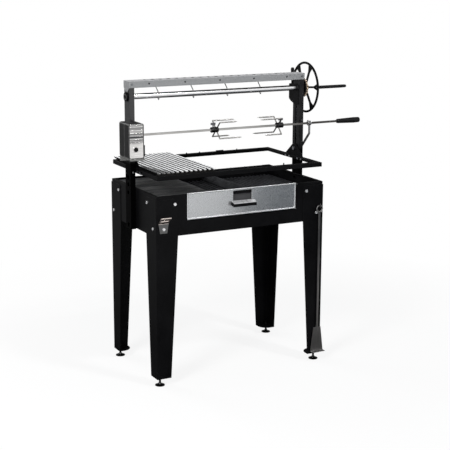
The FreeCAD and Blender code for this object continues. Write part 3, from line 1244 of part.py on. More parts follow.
def drive_socket():
    """Square socket in the motor's side, with its gear inside the case."""
    end, gear_end = "motor_right + socket_end", "motor_right - motor_wall - running_gap"
    tube = rod("x", SPIT, "socket_radius", ("socket_start", end))
    gear = rod("x", SPIT, "gear_radius", (f"{gear_end} - gear_wide", gear_end))
    return cut(join([tube, gear]), [square_bore((f"socket_start - {PAST}", f"{end} + {PAST}"))])


def tine(root, reach, angle, long):
    """Bent, pointed tine: out from the hub, then along the spit."""
    y, z = f"spit_line + tine_orbit * cos({angle})", f"spit_level + tine_orbit * sin({angle})"
    inner = (f"spit_line + arm_root * cos({angle})", f"spit_level + arm_root * sin({angle})")
    neck, tip = f"{root} + {reach} * ({long} - tine_point)", f"{root} + {reach} * ({long})"
    arm = wire_rod([(root,) + inner, (root, y, z)], "tine_radius")
    if reach > 0:
        return [arm, rod("x", (y, z), "tine_radius", (root, neck)),
                rod("x", (y, z), "tine_radius", (neck, tip), "tine_tip")]
    return [arm, rod("x", (y, z), "tine_radius", (neck, root)),
            rod("x", (y, z), "tine_tip", (tip, neck), "tine_radius")]


def fork_screw_place(hub_start, reach):
    return f"({hub_start} + fork_hub_long / 2 - {reach} * screw_offset)"


def meat_fork(hub_start, reach):
    """Hub with a square bore and two long and two short tines; reach is 1 for tines towards +X, or -1."""
    hub_end = f"{hub_start} + fork_hub_long"
    root = f"({hub_start} + fork_hub_long / 2 + {reach} * arm_offset)"
    solids = [rod("x", SPIT, "fork_hub_radius", (hub_start, hub_end))]
    lengths = ("tine_long", "tine_long - tine_step")
    for quarter in range(4):
        long = lengths[(quarter + (reach < 0)) % 2]
        solids += tine(root, reach, f"(tine_angle + {quarter} * 90)", long)
    screw_hole = rod("z", (fork_screw_place(hub_start, reach), "spit_line"), "screw_radius + shaft_fit",
                     ("spit_level", f"spit_level + fork_hub_radius + {PAST}"))
    return cut(join(solids), [square_bore((f"{hub_start} - {PAST}", f"{hub_end} + {PAST}")), screw_hole])


def thumbscrew(place):
    """Screw whose tip stops on the spit, with a wing across its head."""
    neck = "spit_level + fork_hub_radius + screw_neck"
    head_end = f"{neck} + screw_head_tall"
    return join([rod("z", (place, "spit_line"), "screw_radius",
                     ("spit_level + spit_bar / 2 + running_gap", neck)),
                 rod("z", (place, "spit_line"), "screw_boss", (neck, head_end)),
                 box(span_about(place, "screw_wing"), span_about("spit_line", "screw_wing_thick / 2"),
                     (f"{neck} + wing_gap", f"{head_end} + wing_rise"))])


def build_spit():
    sub_part("spit_rod", box(("socket_start + rod_end_gap", "handle_end - handle_buried"),
                             span_about("spit_line", "spit_bar / 2"),
                             span_about("spit_level", "spit_bar / 2")))
    sub_part("spit_handle", spit_handle())
    sub_part("spit_bush", spit_bush())
    sub_part("drive_socket", drive_socket())
    for name, hub_start, reach in (("left", "fork_left_hub", 1), ("right", "fork_right_hub", -1)):
        sub_part("meat_fork_" + name, meat_fork(hub_start, reach))
        sub_part("thumbscrew_" + name, thumbscrew(fork_screw_place(hub_start, reach)))


# ---------------------------------------------------------------- motor

ROCKER = ("rocker_place", "rocker_level")
ROCKER_PIVOT = ("motor_front + motor_wall / 2", "rocker_level")


def motor_bracket():
    """Plate on the left column's front face, with a shelf under the motor and a folded front lip."""
    x = ("motor_left + bracket_gauge", "-column_in")
    front = "motor_front - bracket_gauge"
    upright = box(x, ("motor_back", "-column_y"), ("bracket_low", "bracket_high"))
    shelf = box(x, (front, "-column_y"), ("motor_low - bracket_gauge", "motor_low"))
    lip = box(x, (front, "motor_front"), ("motor_low - shelf_lip", "motor_low"))
    tools = bores("y", RIVETS, "rivet_radius + shaft_fit", ("motor_back", "-column_y"))
    return cut(join([upright, shelf, lip]), tools)


def motor_shell(front, back, hollow_front, hollow_back):
    """Front or back half of the motor's case, hollow between the two given places."""
    outline = [("motor_left", "motor_low"), ("motor_right", "motor_low"),
               ("motor_right", "motor_top"), ("motor_left", "motor_top")]
    shell = prism("y", outline, (front, back), rounds=("case_round", [0, 1, 2, 3]))
    hollow = box(("motor_left + motor_wall", "motor_right - motor_wall"), (hollow_front, hollow_back),
                 ("motor_low + motor_wall", "motor_top - motor_wall"))
    return cut(shell, [hollow])


def motor_case():
    """The case's two halves: the front one has the switch and a side ear, the back one the drive socket."""
    front = motor_shell("motor_front", "motor_split", "motor_front + motor_wall", f"motor_split + {PAST}")
    back = motor_shell("motor_split", "motor_back", f"motor_split - {PAST}", "motor_hollow_back")
    half_pin = "rocker_radius + rocker_gap + rocker_pin_long"
    switch = bores("y", [ROCKER], "rocker_radius + rocker_gap", ("motor_front", "motor_front + motor_wall"))
    switch.append(rod("x", ROCKER_PIVOT, "rocker_pin + shaft_fit",
                      span_about("rocker_place", f"{half_pin} + running_gap")))
    socket = bores("x", [SPIT], "socket_radius + socket_gap", ("motor_right - motor_wall", "motor_right"))
    ear = box(("motor_right - motor_wall", "motor_right + ear_proud"),
              ("motor_front", "motor_front + ear_deep"), ("motor_low + case_round", "motor_low + ear_tall"))
    return [cut(join([front, ear]), switch), cut(back, socket)]


def motor_cover():
    """Bright cap over the motor's front, ribbed above and plain round the switch."""
    left, right = "motor_left + cover_left", "motor_right - cover_right"
    low, top = "motor_low + cover_edge", "motor_top - cover_edge"
    plate = prism("y", [(left, low), (right, low), (right, top), (left, top)],
                  ("cover_face", "motor_front"), rounds=("case_round - cover_edge", [0, 1, 2, 3]))
    ribs = [box((f"{left} + rib_inset", f"{right} - rib_inset"), ("cover_face - rib_tall", "cover_face"),
                span_about(f"motor_top - rib_drop - {number} * rib_pitch", "rib_wide / 2"))
            for number in range(int(value("rib_count")))]
    bezel_span = ("cover_face - bezel_tall", "cover_face")
    bezel = rod("y", ROCKER, "rocker_bezel", bezel_span)
    return cut(join([plate, bezel] + ribs),
               bores("y", [ROCKER], "rocker_radius + rocker_gap", ("cover_face - bezel_tall", "motor_front")))


def motor_core():
    """The motor inside the case, on the case's back wall."""
    centre = ("motor_middle", "motor_low + motor_wall + core_radius + running_gap")
    front = "motor_hollow_back - core_long"
    return join([rod("y", centre, "core_radius", (front, "motor_hollow_back")),
                 rod("y", centre, "core_nose", (f"{front} - core_nose_long", front))])


def motor_rocker():
    """Round rocker switch cap on two small pins."""
    face = "cover_face - rocker_proud"
    cap = rod("y", ROCKER, "rocker_radius", (face, "motor_front + motor_wall"))
    pin = rod("x", ROCKER_PIVOT, "rocker_pin",
              span_about("rocker_place", "rocker_radius + rocker_gap + rocker_pin_long"))
    groove = box(span_about("rocker_place", "rocker_radius - rocker_groove_inset"),
                 (f"{face} - {PAST}", f"{face} + rib_tall"),
                 span_about("rocker_level", "rocker_pin"))
    return cut(join([cap, pin]), [groove])


def build_motor():
    sub_part("motor_bracket", motor_bracket())
    sub_part("motor_case", *motor_case())
    sub_part("motor_cover", motor_cover())
    sub_part("motor_core", motor_core())
    sub_part("motor_rocker", motor_rocker())


# ---------------------------------------------------------------- ash tool

def ash_tool():
    """Flat-handled ash hoe that hangs by its ring from the peg."""
    back = "-leg_y - tool_standoff"
    ring_level = "peg_level + peg_radius + running_gap - ring_radius + ring_wire"
    ring = doc.addObject("Part::Torus", "ring")
    ring.Placement = FreeCAD.Placement(FreeCAD.Vector(), TURNS["y"])
    ring.setExpression("Radius1", formula("ring_radius"))
    ring.setExpression("Radius2", formula("ring_wire"))
    for name, place in zip("xyz", ("tool_place", f"{back} - ring_wire", ring_level)):
        ring.setExpression("Placement.Base." + name, formula(place))
    stem = box(span_about("tool_place", "stem_wide / 2"), (f"{back} - stem_gauge", back),
               ("blade_top - blade_wide / 2", f"{ring_level} - ring_radius + ring_wire - 1"))
    low_left, low_right = span_about("tool_place", "hoe_wide / 2")
    top_left, top_right = span_about("tool_place", "blade_wide / 2")
    blade = prism("y", [(top_left, "blade_top"), (low_left, "tool_low"), (low_right, "tool_low"),
                        (top_right, "blade_top")], (f"{back} - blade_gauge", back))
    hoe = box((low_left, low_right), (f"{back} - hoe_reach", back), ("tool_low", "tool_low + blade_gauge"))
    return join([ring, stem, blade, hoe])


def check_and_write():
    """Stop at any failed object or broken shape, then write each sub-part to its own file."""
    doc.recompute()
    for item in doc.Objects:
        if "Invalid" in item.State or "Error" in item.State:
            raise RuntimeError(f"{item.Label} failed: {item.State}")
    for node in NODES:
        if node.Shape.isNull() or not node.Shape.isValid():
            raise RuntimeError(f"{node.Label} has no valid shape")
    os.makedirs("parts", exist_ok=True)
    for node in NODES:
        node.Shape.exportStep(f"parts/{node.Label}.step")
    print(len(NODES), "sub-parts,", sum(len(node.Shape.Solids) for node in NODES), "solids")


build_firebox()
build_drawer()
build_legs()
build_columns()
build_winch()
build_carriage()
build_spit()
build_motor()
sub_part("ash_tool", ash_tool())
check_and_write()
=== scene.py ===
"""Looks of a charcoal grill with a winch-raised grill frame and a motor-driven spit."""

import json
import math

import bmesh
import bpy
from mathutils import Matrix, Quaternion, Vector


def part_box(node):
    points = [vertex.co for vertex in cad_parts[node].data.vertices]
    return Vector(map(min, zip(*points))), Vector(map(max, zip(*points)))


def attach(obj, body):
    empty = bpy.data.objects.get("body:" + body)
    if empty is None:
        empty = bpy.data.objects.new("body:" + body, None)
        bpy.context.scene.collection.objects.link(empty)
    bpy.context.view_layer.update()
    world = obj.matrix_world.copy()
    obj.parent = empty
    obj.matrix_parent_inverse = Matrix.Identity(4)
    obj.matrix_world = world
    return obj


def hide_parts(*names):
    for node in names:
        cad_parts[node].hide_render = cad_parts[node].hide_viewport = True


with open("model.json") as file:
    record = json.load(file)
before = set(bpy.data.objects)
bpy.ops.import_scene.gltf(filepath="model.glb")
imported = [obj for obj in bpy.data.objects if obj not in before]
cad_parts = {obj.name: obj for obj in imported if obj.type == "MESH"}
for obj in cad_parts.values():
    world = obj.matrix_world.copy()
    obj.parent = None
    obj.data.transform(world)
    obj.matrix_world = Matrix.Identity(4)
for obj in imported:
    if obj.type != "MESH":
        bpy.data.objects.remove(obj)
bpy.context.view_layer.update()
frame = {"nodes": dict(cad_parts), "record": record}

# ---------------------------------------------------------------- node helpers


def grey(level):
    return (level, level, level)


def times(factor, colour):
    """A colour made lighter or darker."""
    return tuple(factor * part for part in colour)


def part_way(box, letter, share):
    """The coordinate at a share of a box's length along an axis."""
    low, high = (corner["XYZ".index(letter)] for corner in box)
    return low + share * (high - low)


class Nodes:
    """Short ways to add nodes to a tree."""

    def __init__(self, tree):
        self.tree = tree

    def fill(self, socket, value):
        """Gives an input a value, or links it to a socket."""
        if isinstance(value, bpy.types.NodeSocket):
            self.tree.links.new(value, socket)
        elif socket.type == "RGBA":
            socket.default_value = (*value, 1)
        else:
            socket.default_value = value

    def make(self, kind, inputs=(), **settings):
        """Adds a node and fills its inputs."""
        made = self.tree.nodes.new("ShaderNode" + kind)
        for name, value in settings.items():
            setattr(made, name, value)
        for name, value in dict(inputs).items():
            self.fill(made.inputs[name], value)
        return made

    def add(self, kind, inputs=(), output=0, **settings):
        """Adds a node and returns one of its outputs."""
        return self.make(kind, inputs, **settings).outputs[output]

    def maths(self, how, first, second=0.0):
        return self.add("Math", {0: first, 1: second}, operation=how)

    def to_range(self, value, low, high, start=0, end=1, **settings):
        """Takes the range from start to end to the range from low to high."""
        return self.add("MapRange", {
            "Value": value, "From Min": start, "From Max": end, "To Min": low, "To Max": high}, **settings)

    def mask(self, value, start, end, most=1):
        """0 up to start, and rising from there to its most at end."""
        return self.to_range(value, 0, most, start, end)

    def blend(self, share, first, second):
        """The second colour over the first, by the share."""
        colours = {6: first, 7: second}
        return self.add("Mix", {0: share, **colours}, 2, data_type="RGBA")


class Paint(Nodes):
    """A material and short ways to paint it."""

    def __init__(self, name):
        self.material = bpy.data.materials.new(name)
        self.material.use_nodes = True
        super().__init__(self.material.node_tree)
        self.shader = self.tree.nodes["Principled BSDF"]

    def place(self, stretch=(1, 1, 1)):
        """The point on the object in metres, stretched along its axes."""
        return self.add("Mapping", {"Vector": self.add("TexCoord", output="Object"), "Scale": stretch})

    def axis(self, letter):
        """One coordinate of the point on the object, in metres."""
        return self.add("SeparateXYZ", {"Vector": self.place()}, letter)

    def noise(self, scale, detail=4, stretch=(1, 1, 1), roughness=0.55, distortion=0):
        return self.add("TexNoise", {
            "Vector": self.place(stretch), "Scale": scale, "Detail": detail,
            "Roughness": roughness, "Distortion": distortion})

    def edges(self, radius):
        """About 1 on outside and inside edges, 0 on flat faces."""
        rounded = self.add("Bevel", {"Radius": radius}, samples=4)
        flat = self.add("NewGeometry", output="Normal")
        alike = self.add("VectorMath", {0: rounded, 1: flat}, "Value", operation="DOT_PRODUCT")
        return self.to_range(alike, 1, 0, start=0.86, end=0.99)

    def hollows(self, reach, depth):
        """About 1 on open faces, and lower in hollows and slots narrower than the reach."""
        return self.maths("POWER", self.add("AmbientOcclusion", {"Distance": reach}, "AO", samples=6), depth)

    def within(self, box, margin, axes):
        """1 inside a box of two corners that is shrunk by a margin along the given axes, 0 outside it."""
        share = None
        for letter in axes:
            away = self.maths("SUBTRACT", self.axis(letter), part_way(box, letter, 0.5))
            half = part_way(box, letter, 1) - part_way(box, letter, 0.5)
            here = self.maths("LESS_THAN", self.maths("ABSOLUTE", away), abs(half) - margin)
            share = here if share is None else self.maths("MULTIPLY", share, here)
        return share

    def bump(self, height, strength, depth=0.0003, rounding=0):
        """Gives the surface a relief; a rounding softens the edges' shading with it."""
        inputs = {"Height": height, "Strength": strength, "Distance": depth}
        if rounding:
            inputs["Normal"] = self.add("Bevel", {"Radius": rounding}, samples=6)
        self.set(Normal=self.add("Bump", inputs))

    def set(self, **inputs):
        """Fills the shader's inputs, and returns the material."""
        for name, value in inputs.items():
            self.fill(self.shader.inputs[name.replace("_", " ")], value)
        return self.material

    def show(self, surface):
        """Shows another shader in place of the material's own, and returns the material."""
        self.fill(self.tree.nodes["Material Output"].inputs["Surface"], surface)
        return self.material


# ---------------------------------------------------------------- materials

# Colours. The spangle's two are factors on a sheet's shade.
COAT, COAT_WORN, COAT_SHADED = (0.003, 0.003, 0.0034), (0.07, 0.07, 0.075), (0.004, 0.004, 0.0042)
MILL_SCALE, ZINC, STAINLESS = (0.006, 0.0072, 0.0105), (0.60, 0.62, 0.66), (0.98, 0.99, 1.0)
SPANGLE_DARK, SPANGLE_LIGHT = (0.80, 0.82, 0.84), (1.2, 1.22, 1.25)
GOLD_GREEN, GOLD_PINK, CHAIN_OIL = (0.86, 0.74, 0.56), (0.90, 0.76, 0.66), (0.16, 0.11, 0.07)
CHROME, HAIRLINE = (0.78, 0.78, 0.79), (0.60, 0.60, 0.61)
PLASTIC, HOLLOW_SHADE = (0.004, 0.004, 0.0045), (0.01, 0.01, 0.011)
# Widths of rubbed edges and of plastic's painted edge highlight, and the height over which the columns'
# painted shade fades, in metres.
COAT_EDGE, ZINC_EDGE, PLASTIC_HIGHLIGHT_EDGE, SHADE_FADE = 0.0012, 0.0006, 0.003, 0.04
# How far a brushed grain is drawn out, as a factor on its scale.
DRAWN_OUT = 0.02


def powder_coat(name, shade=COAT, gloss=0.38, sheen=0.07, shaded_under=None):
    """Satin black powder coat: fine orange peel, faint cloudiness, lighter where edges rub.

    Below the given level it is painted matt black and shows no reflection: painted shade.
    """
    paint = Paint(name)
    cloud = paint.noise(scale=7, detail=5)
    colour = paint.blend(paint.mask(cloud, 0.35, 0.7), shade, times(1.9, shade))
    wear = paint.mask(paint.noise(scale=60, detail=6), 0.4, 0.7, most=0.3)
    colour = paint.blend(paint.maths("MULTIPLY", paint.edges(COAT_EDGE), wear), colour, COAT_WORN)
    paint.bump(paint.noise(scale=520, detail=3), strength=0.16)
    rough = paint.to_range(cloud, gloss, gloss + 0.1, 0.3, 0.7)
    metal = 0
    # Painted shade: below the given level the coat turns black, matt and fully metallic, so it reflects
    # nothing.
    if shaded_under:
        shaded = paint.to_range(paint.axis("Z"), 1, 0, shaded_under, shaded_under + SHADE_FADE)
        rough = paint.maths("MAXIMUM", rough, shaded)
        colour = paint.blend(shaded, colour, COAT_SHADED)
        metal = shaded
    return paint.set(Base_Color=colour, Metallic=metal, Roughness=rough, Specular_IOR_Level=sheen)


def brushed(name, along, shade, tint=STAINLESS, rough=0.26, hollow_shade=0, metal=1.0, change=None):
    """Stainless steel brushed along an axis; change may alter its colour."""
    paint = Paint(name)
    stretch = [DRAWN_OUT if letter == along else 1.0 for letter in "XYZ"]
    lines = paint.noise(scale=900, detail=3, stretch=stretch)
    smudge = paint.noise(scale=11)
    low, high = times(shade * 0.78, tint), times(shade * 1.12, tint)
    colour = paint.blend(paint.mask(lines, 0.35, 0.65), low, high)
    colour = paint.blend(paint.mask(smudge, 0.45, 0.75, most=0.25), colour, times(0.7, low))
    # Painted shade: darker in hollows and gaps narrower than the given reach.
    if hollow_shade:
        colour = paint.blend(paint.hollows(hollow_shade, depth=1.6), HOLLOW_SHADE, colour)
    if change:
        colour = change(paint, colour)
    paint.bump(lines, strength=0.12, depth=0.0002)
    return paint.set(
        Base_Color=colour, Metallic=metal, Anisotropic=0.5,
        Roughness=paint.to_range(smudge, rough, rough + 0.14, 0.3, 0.7))


def galvanised(name, shade, grain, rough, metal, change):
    """Galvanised sheet: crystal spangle, a cool cast and a soft sheen; change alters its colour and metal."""
    paint = Paint(name)
    flakes = paint.add("TexVoronoi", {"Vector": paint.place(), "Scale": grain}, "Color")
    level = paint.add("RGBToBW", {"Color": flakes})
    dust = paint.noise(scale=1400, detail=2)
    high = times(shade, SPANGLE_LIGHT)
    colour = paint.blend(paint.mask(level, 0.15, 0.85), times(shade, SPANGLE_DARK), high)
    colour = paint.blend(paint.mask(dust, 0.5, 0.7, most=0.5), colour, times(1.1, high))
    colour, metal = change(paint, colour, metal)
    paint.bump(dust, strength=0.15, depth=0.0002, rounding=0.002)
    return paint.set(
        Base_Color=colour, Metallic=metal, Roughness=paint.to_range(level, rough, rough + 0.16, 0.1, 0.9))


def mill_steel(name, shade=MILL_SCALE, rough=0.5, streak=0.0):
    """Raw hot-rolled plate: blue-black scale with paler specks where it has flaked, and rolling streaks."""
    paint = Paint(name)
    cloud = paint.noise(scale=14, detail=6, distortion=0.4)
    speck = paint.noise(scale=230, roughness=0.7)
    colour = paint.blend(paint.mask(cloud, 0.35, 0.7), shade, times(2.1, shade))
    colour = paint.blend(paint.mask(speck, 0.56, 0.66, most=0.7), colour, times(8, shade))
    if streak:
        lines = paint.noise(scale=90, detail=5, stretch=(0.06, 1, 1))
        colour = paint.blend(paint.mask(lines, 0.45, 0.7, most=0.8), colour, (streak, streak, 0.98 * streak))
    paint.bump(speck, strength=0.3, depth=0.0004)
    return paint.set(
        Base_Color=colour, Metallic=0.55, Roughness=paint.to_range(speck, rough, rough + 0.25, 0.3, 0.7))


def bright_zinc(name, tint=ZINC, rough=0.24, metal=1.0, change=None):
    """Zinc-plated hardware; change may alter its colour."""
    paint = Paint(name)
    cloud = paint.noise(scale=90, detail=5)
    colour = paint.blend(cloud, times(0.8, tint), tint)
    colour = paint.blend(paint.mask(paint.edges(ZINC_EDGE), 0, 1, most=0.4), colour, times(1.3, tint))
    if change:
        colour = change(paint, colour)
    paint.bump(paint.noise(scale=1500, detail=2), strength=0.1, depth=0.0001)
    return paint.set(
        Base_Color=colour, Metallic=metal, Roughness=paint.to_range(cloud, rough, rough + 0.15, 0.3, 0.7))


def yellow_zinc(name):
    """Yellow-passivated chain: gold with pink and green casts, dark where oil sits."""
    paint = Paint(name)
    cast = paint.noise(scale=160, detail=3)
    oil = paint.noise(scale=420)
    colour = paint.blend(paint.mask(cast, 0.35, 0.65), GOLD_GREEN, GOLD_PINK)
    colour = paint.blend(paint.mask(oil, 0.5, 0.65, most=0.6), colour, CHAIN_OIL)
    return paint.set(Base_Color=colour, Metallic=1.0, Roughness=paint.to_range(oil, 0.25, 0.5, 0.3, 0.7))


def chrome(name):
    """Bright tube with a few hairlines round it."""
    paint = Paint(name)
    lines = paint.noise(scale=700, detail=2, stretch=(1, DRAWN_OUT, DRAWN_OUT))
    colour = paint.blend(paint.mask(lines, 0.45, 0.7, most=0.35), CHROME, HAIRLINE)
    return paint.set(Base_Color=colour, Metallic=1.0, Roughness=paint.to_range(lines, 0.10, 0.2, 0.3, 0.7))


def moulded(name, shade=PLASTIC, rough=0.35, grain=900, depth=0.15, edge_highlight=0.0):
    """Moulded black plastic with a fine grain, and a painted highlight of the given lightness along its
    edges.
    """
    paint = Paint(name)
    cloud = paint.noise(scale=18)
    colour = paint.blend(cloud, shade, times(1.7, shade))
    if edge_highlight:
        colour = paint.blend(paint.edges(PLASTIC_HIGHLIGHT_EDGE), colour, grey(edge_highlight))
    paint.bump(paint.noise(scale=grain, detail=3), strength=depth, depth=0.0002)
    return paint.set(
        Base_Color=colour, Specular_IOR_Level=0.15,
        Roughness=paint.to_range(cloud, rough, rough + 0.12, 0.3, 0.7))


# ---------------------------------------------------------------- what differs from place to place

FIREBOX = (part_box("firebox_front")[0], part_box("firebox_back")[1])
# Colours. Painted shade: the crossbar's inside and the grate low in its channels and underneath. Painted
# light: the crossbar's top, the drawer's hems and the cover's bands.
INSIDE_BLACK, CHANNEL_SHADE, UNDERSIDE_SHADE = (0.006, 0.006, 0.007), (0.035, 0.033, 0.032), grey(0.006)
CROSSBAR_TOP_LIGHT, HEM_HIGHLIGHT, REFLECTION_DARK_BAND = (0.6, 0.6, 0.61), (0.78, 0.79, 0.8), (0.05, 0.05, 0.055)
TARNISH, HUB, HOOD = (0.03, 0.026, 0.022), (0.02, 0.02, 0.021), (0.86, 0.76, 0.70)
# How metallic the two painted highlights are.
CROSSBAR_TOP_LIGHT_METAL, HEM_HIGHLIGHT_METAL = 0.05, 0.45
# Depths, widths and radii in metres.
SHEET_SKIN, CROSSBAR_SKIN, CROSSBAR_FACE = 0.001, 0.0012, 0.0008
HEM_HIGHLIGHT_WIDE, WINDOW_HIGHLIGHT_WIDE, HUB_RADIUS, ARM_ROOT = 0.004, 0.003, 0.012, 0.024
# Shares of a piece's height or length.
PLAIN_FOOT, CHANNEL_SHADE_END, CHANNEL_LIT_FROM, ROD_BRIGHT, ROD_DARK, HOOD_FROM = 0.42, 0.45, 0.9, 0.5, 0.78, 0.56
# The normal's Z below which a face looks down.
FACING_DOWN = -0.2


def black_in_firebox(paint, colour):
    """Black inside the firebox."""
    return paint.blend(paint.within(FIREBOX, SHEET_SKIN, "XY"), colour, INSIDE_BLACK)


def painted_crossbar_light_and_shade(paint, colour, metal):
    """Painted shade blackens the crossbar's inside, which slots and holes show; painted light pales its top.
    """
    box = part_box("crossbar")
    top = box[1].z
    below = paint.maths("LESS_THAN", paint.axis("Z"), top - CROSSBAR_SKIN)
    shaded_inside = paint.maths("MULTIPLY", paint.within(box, CROSSBAR_SKIN, "XY"), below)
    lit_top = paint.maths("GREATER_THAN", paint.axis("Z"), top - CROSSBAR_FACE)
    colour = paint.blend(lit_top, colour, CROSSBAR_TOP_LIGHT)
    metal = paint.maths("MAXIMUM", shaded_inside, paint.to_range(lit_top, metal, CROSSBAR_TOP_LIGHT_METAL))
    return paint.blend(shaded_inside, colour, INSIDE_BLACK), metal


def painted_hem_highlights(paint, colour, metal):
    """Painted highlights: the drawer front's rolled edges and its window's frame are paler and less metallic.
    """
    window = next(gap for gap in frame["record"]["physics"]["openings"] if gap["name"] == "drawer_window")
    window = [Vector(corner) for corner in window["box_m"]]
    highlight = paint.maths("SUBTRACT", 1, paint.within(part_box("drawer_front"), HEM_HIGHLIGHT_WIDE, "XZ"))
    highlight = paint.maths("MAXIMUM", highlight, paint.within(window, -WINDOW_HIGHLIGHT_WIDE, "XZ"))
    return paint.blend(highlight, colour, HEM_HIGHLIGHT), paint.to_range(highlight, metal, HEM_HIGHLIGHT_METAL)


def painted_reflection_bands(paint, colour):
    """Painted reflection: bright and dark bands across the cover's ribbed part, over a plain bright foot."""
    reflection_bands = paint.mask(paint.noise(scale=95, detail=2, stretch=(0.001, 0.001, 1)), 0.38, 0.62)
    ribbed = paint.maths("GREATER_THAN", paint.axis("Z"), part_way(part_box("motor_cover"), "Z", PLAIN_FOOT))
    return paint.blend(paint.maths("MULTIPLY", ribbed, reflection_bands), colour, REFLECTION_DARK_BAND)


def painted_grate_shade(paint, colour):
    """Painted shade: darker low in the grate's channels than at their top, and black on faces that look down.
    """
    shade_end, bright = (part_way(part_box("grill_grate"), "Z", share) for share in (CHANNEL_SHADE_END, CHANNEL_LIT_FROM))
    colour = paint.blend(paint.mask(paint.axis("Z"), shade_end, bright), CHANNEL_SHADE, colour)
    facing = paint.add("SeparateXYZ", {"Vector": paint.add("NewGeometry", output="True Normal")}, "Z")
    return paint.blend(paint.maths("LESS_THAN", facing, FACING_DOWN), colour, UNDERSIDE_SHADE)


def tarnished(paint, colour):
    """The spit rod darkens towards its handle."""
    bright, dark = (part_way(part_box("spit_rod"), "X", share) for share in (ROD_BRIGHT, ROD_DARK))
    return paint.blend(paint.mask(paint.axis("X"), bright, dark, most=0.88), colour, TARNISH)


def dark_hub(paint, colour):
    """The forks' hubs and the roots of their arms are darker than the tines."""
    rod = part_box("spit_rod")
    offsets = [paint.maths("SUBTRACT", paint.axis(letter), part_way(rod, letter, 0.5)) for letter in "YZ"]
    squares = [paint.maths("POWER", offset, 2) for offset in offsets]
    away = paint.maths("SQRT", paint.maths("ADD", *squares))
    return paint.blend(paint.to_range(away, 1, 0, HUB_RADIUS, ARM_ROOT), colour, HUB)


def bright_loop(paint, colour):
    """The opener's bent hood is polished by use, and its plate is dull."""
    hood = paint.maths("GREATER_THAN", paint.axis("Z"), part_way(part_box("bottle_opener"), "Z", HOOD_FROM))
    return paint.blend(hood, colour, HOOD)


# ---------------------------------------------------------------- materials of the nodes

COATED = (
    "firebox_front", "firebox_back", "firebox_side_left", "firebox_side_right", "leg_front_left",
    "leg_front_right", "leg_back_left", "leg_back_right", "foot_plates", "shaft_bushes", "bearing_plate",
    "drawer_handle", "handwheel", "lock_lever", "grill_frame", "gusset_plates")
# Painted shade: the right column's coat is a copy of the left's with less sheen, so it looks darker.
COLUMN_COAT, COLUMN_LIT_AND_SHADED_SHEENS = (0.008, 0.008, 0.0088), {"column_left": 0.75, "column_right": 0.2}
# The columns' painted shade starts this far under the motor's bracket.
SHADED_BELOW = 0.02  # metres under the motor's bracket
LOOKS = {
    "hearth_plates": mill_steel("hearth_steel", (0.045, 0.046, 0.048), rough=0.42, streak=0.26),
    "hearth_floor": mill_steel("floor_steel"),
    "inner_angles": mill_steel("angle_steel"),
    "fire_grate": mill_steel("grate_steel", (0.028, 0.029, 0.032)),
    "ember_divider": mill_steel("divider_steel", (0.05, 0.052, 0.056)),
    "drawer_box": mill_steel("drawer_steel"),
    "crossbar": galvanised("crossbar_sheet", 0.31, grain=900, rough=0.42, metal=0.35, change=painted_crossbar_light_and_shade),
    "drawer_front": galvanised("drawer_sheet", 0.55, grain=700, rough=0.24, metal=0.85, change=painted_hem_highlights),
    "motor_cover": brushed(
        "cover_steel", "X", 0.8, tint=(1.0, 0.985, 0.97), rough=0.14, metal=0.8, change=painted_reflection_bands),
    "grill_grate": brushed("grate_stainless", "Y", 0.95, rough=0.18, hollow_shade=0.02, metal=0.7, change=painted_grate_shade),
    "spit_rod": brushed("rod_steel", "X", 0.55, tint=(1.0, 0.98, 0.95), change=tarnished),
    "spit_bush": brushed("bush_steel", "X", 0.6),
    "spit_cradle": brushed("cradle_steel", "Z", 0.36),
    "drive_socket": brushed("socket_steel", "X", 0.5),
    "ash_tool": brushed("tool_steel", "Z", 0.3, tint=(1.0, 0.98, 0.97), rough=0.34),
    "wire_hooks": brushed("hook_wire", "Z", 0.1, rough=0.3),
    "leg_bolts": bright_zinc("leg_bolt_zinc", (0.95, 0.95, 0.96), rough=0.2, metal=0.6, change=black_in_firebox),
    "column_fasteners": bright_zinc("fastener_zinc", (0.25, 0.26, 0.27), change=black_in_firebox),
    "bottle_opener": bright_zinc("opener_zinc", grey(0.16), change=bright_loop),
    "carriage_bolts": bright_zinc("carriage_zinc"),
    "lift_chains": bright_zinc("chain_zinc"),
    "lift_drums": bright_zinc("drum_zinc"),
    "wheel_fasteners": bright_zinc("wheel_zinc", grey(0.1)),
    "motor_bracket": bright_zinc("bracket_zinc", (0.24, 0.24, 0.235), metal=0.8),
    "motor_core": bright_zinc("core_metal", (0.3, 0.3, 0.32)),
    "ratchet_chain": yellow_zinc("chain_gold"),
    "ratchet_disc": powder_coat("disc_coat"),
    "winch_shaft": chrome("shaft_chrome"),
    "motor_case": moulded("case_plastic", (0.008, 0.008, 0.0085), grain=700, depth=0.25, edge_highlight=0.3),
    "motor_rocker": moulded("rocker_plastic", rough=0.2),
    "crank_grip": moulded("grip_plastic"),
    "spit_handle": moulded("handle_plastic", rough=0.22),
    "lock_knob": moulded("knob_plastic", rough=0.22),
    "sliders": moulded("slider_plastic"),
}
for corner in ("front_left", "front_right", "back_left", "back_right"):
    LOOKS["levelling_foot_" + corner] = bright_zinc("foot_zinc_" + corner, grey(0.05))
for hand in ("left", "right"):
    LOOKS["meat_fork_" + hand] = brushed(
        "fork_steel_" + hand, "X", 0.42, tint=(1.0, 0.97, 0.94), change=dark_hub)
    LOOKS["thumbscrew_" + hand] = bright_zinc("thumb_zinc_" + hand, (0.2, 0.2, 0.21))
for coated in COATED:
    LOOKS[coated] = powder_coat("coat_" + coated)
for column, sheen in COLUMN_LIT_AND_SHADED_SHEENS.items():
    LOOKS[column] = powder_coat("coat_" + column, COLUMN_COAT, gloss=0.28, sheen=sheen,
                                shaded_under=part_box("motor_bracket")[0].z - SHADED_BELOW)

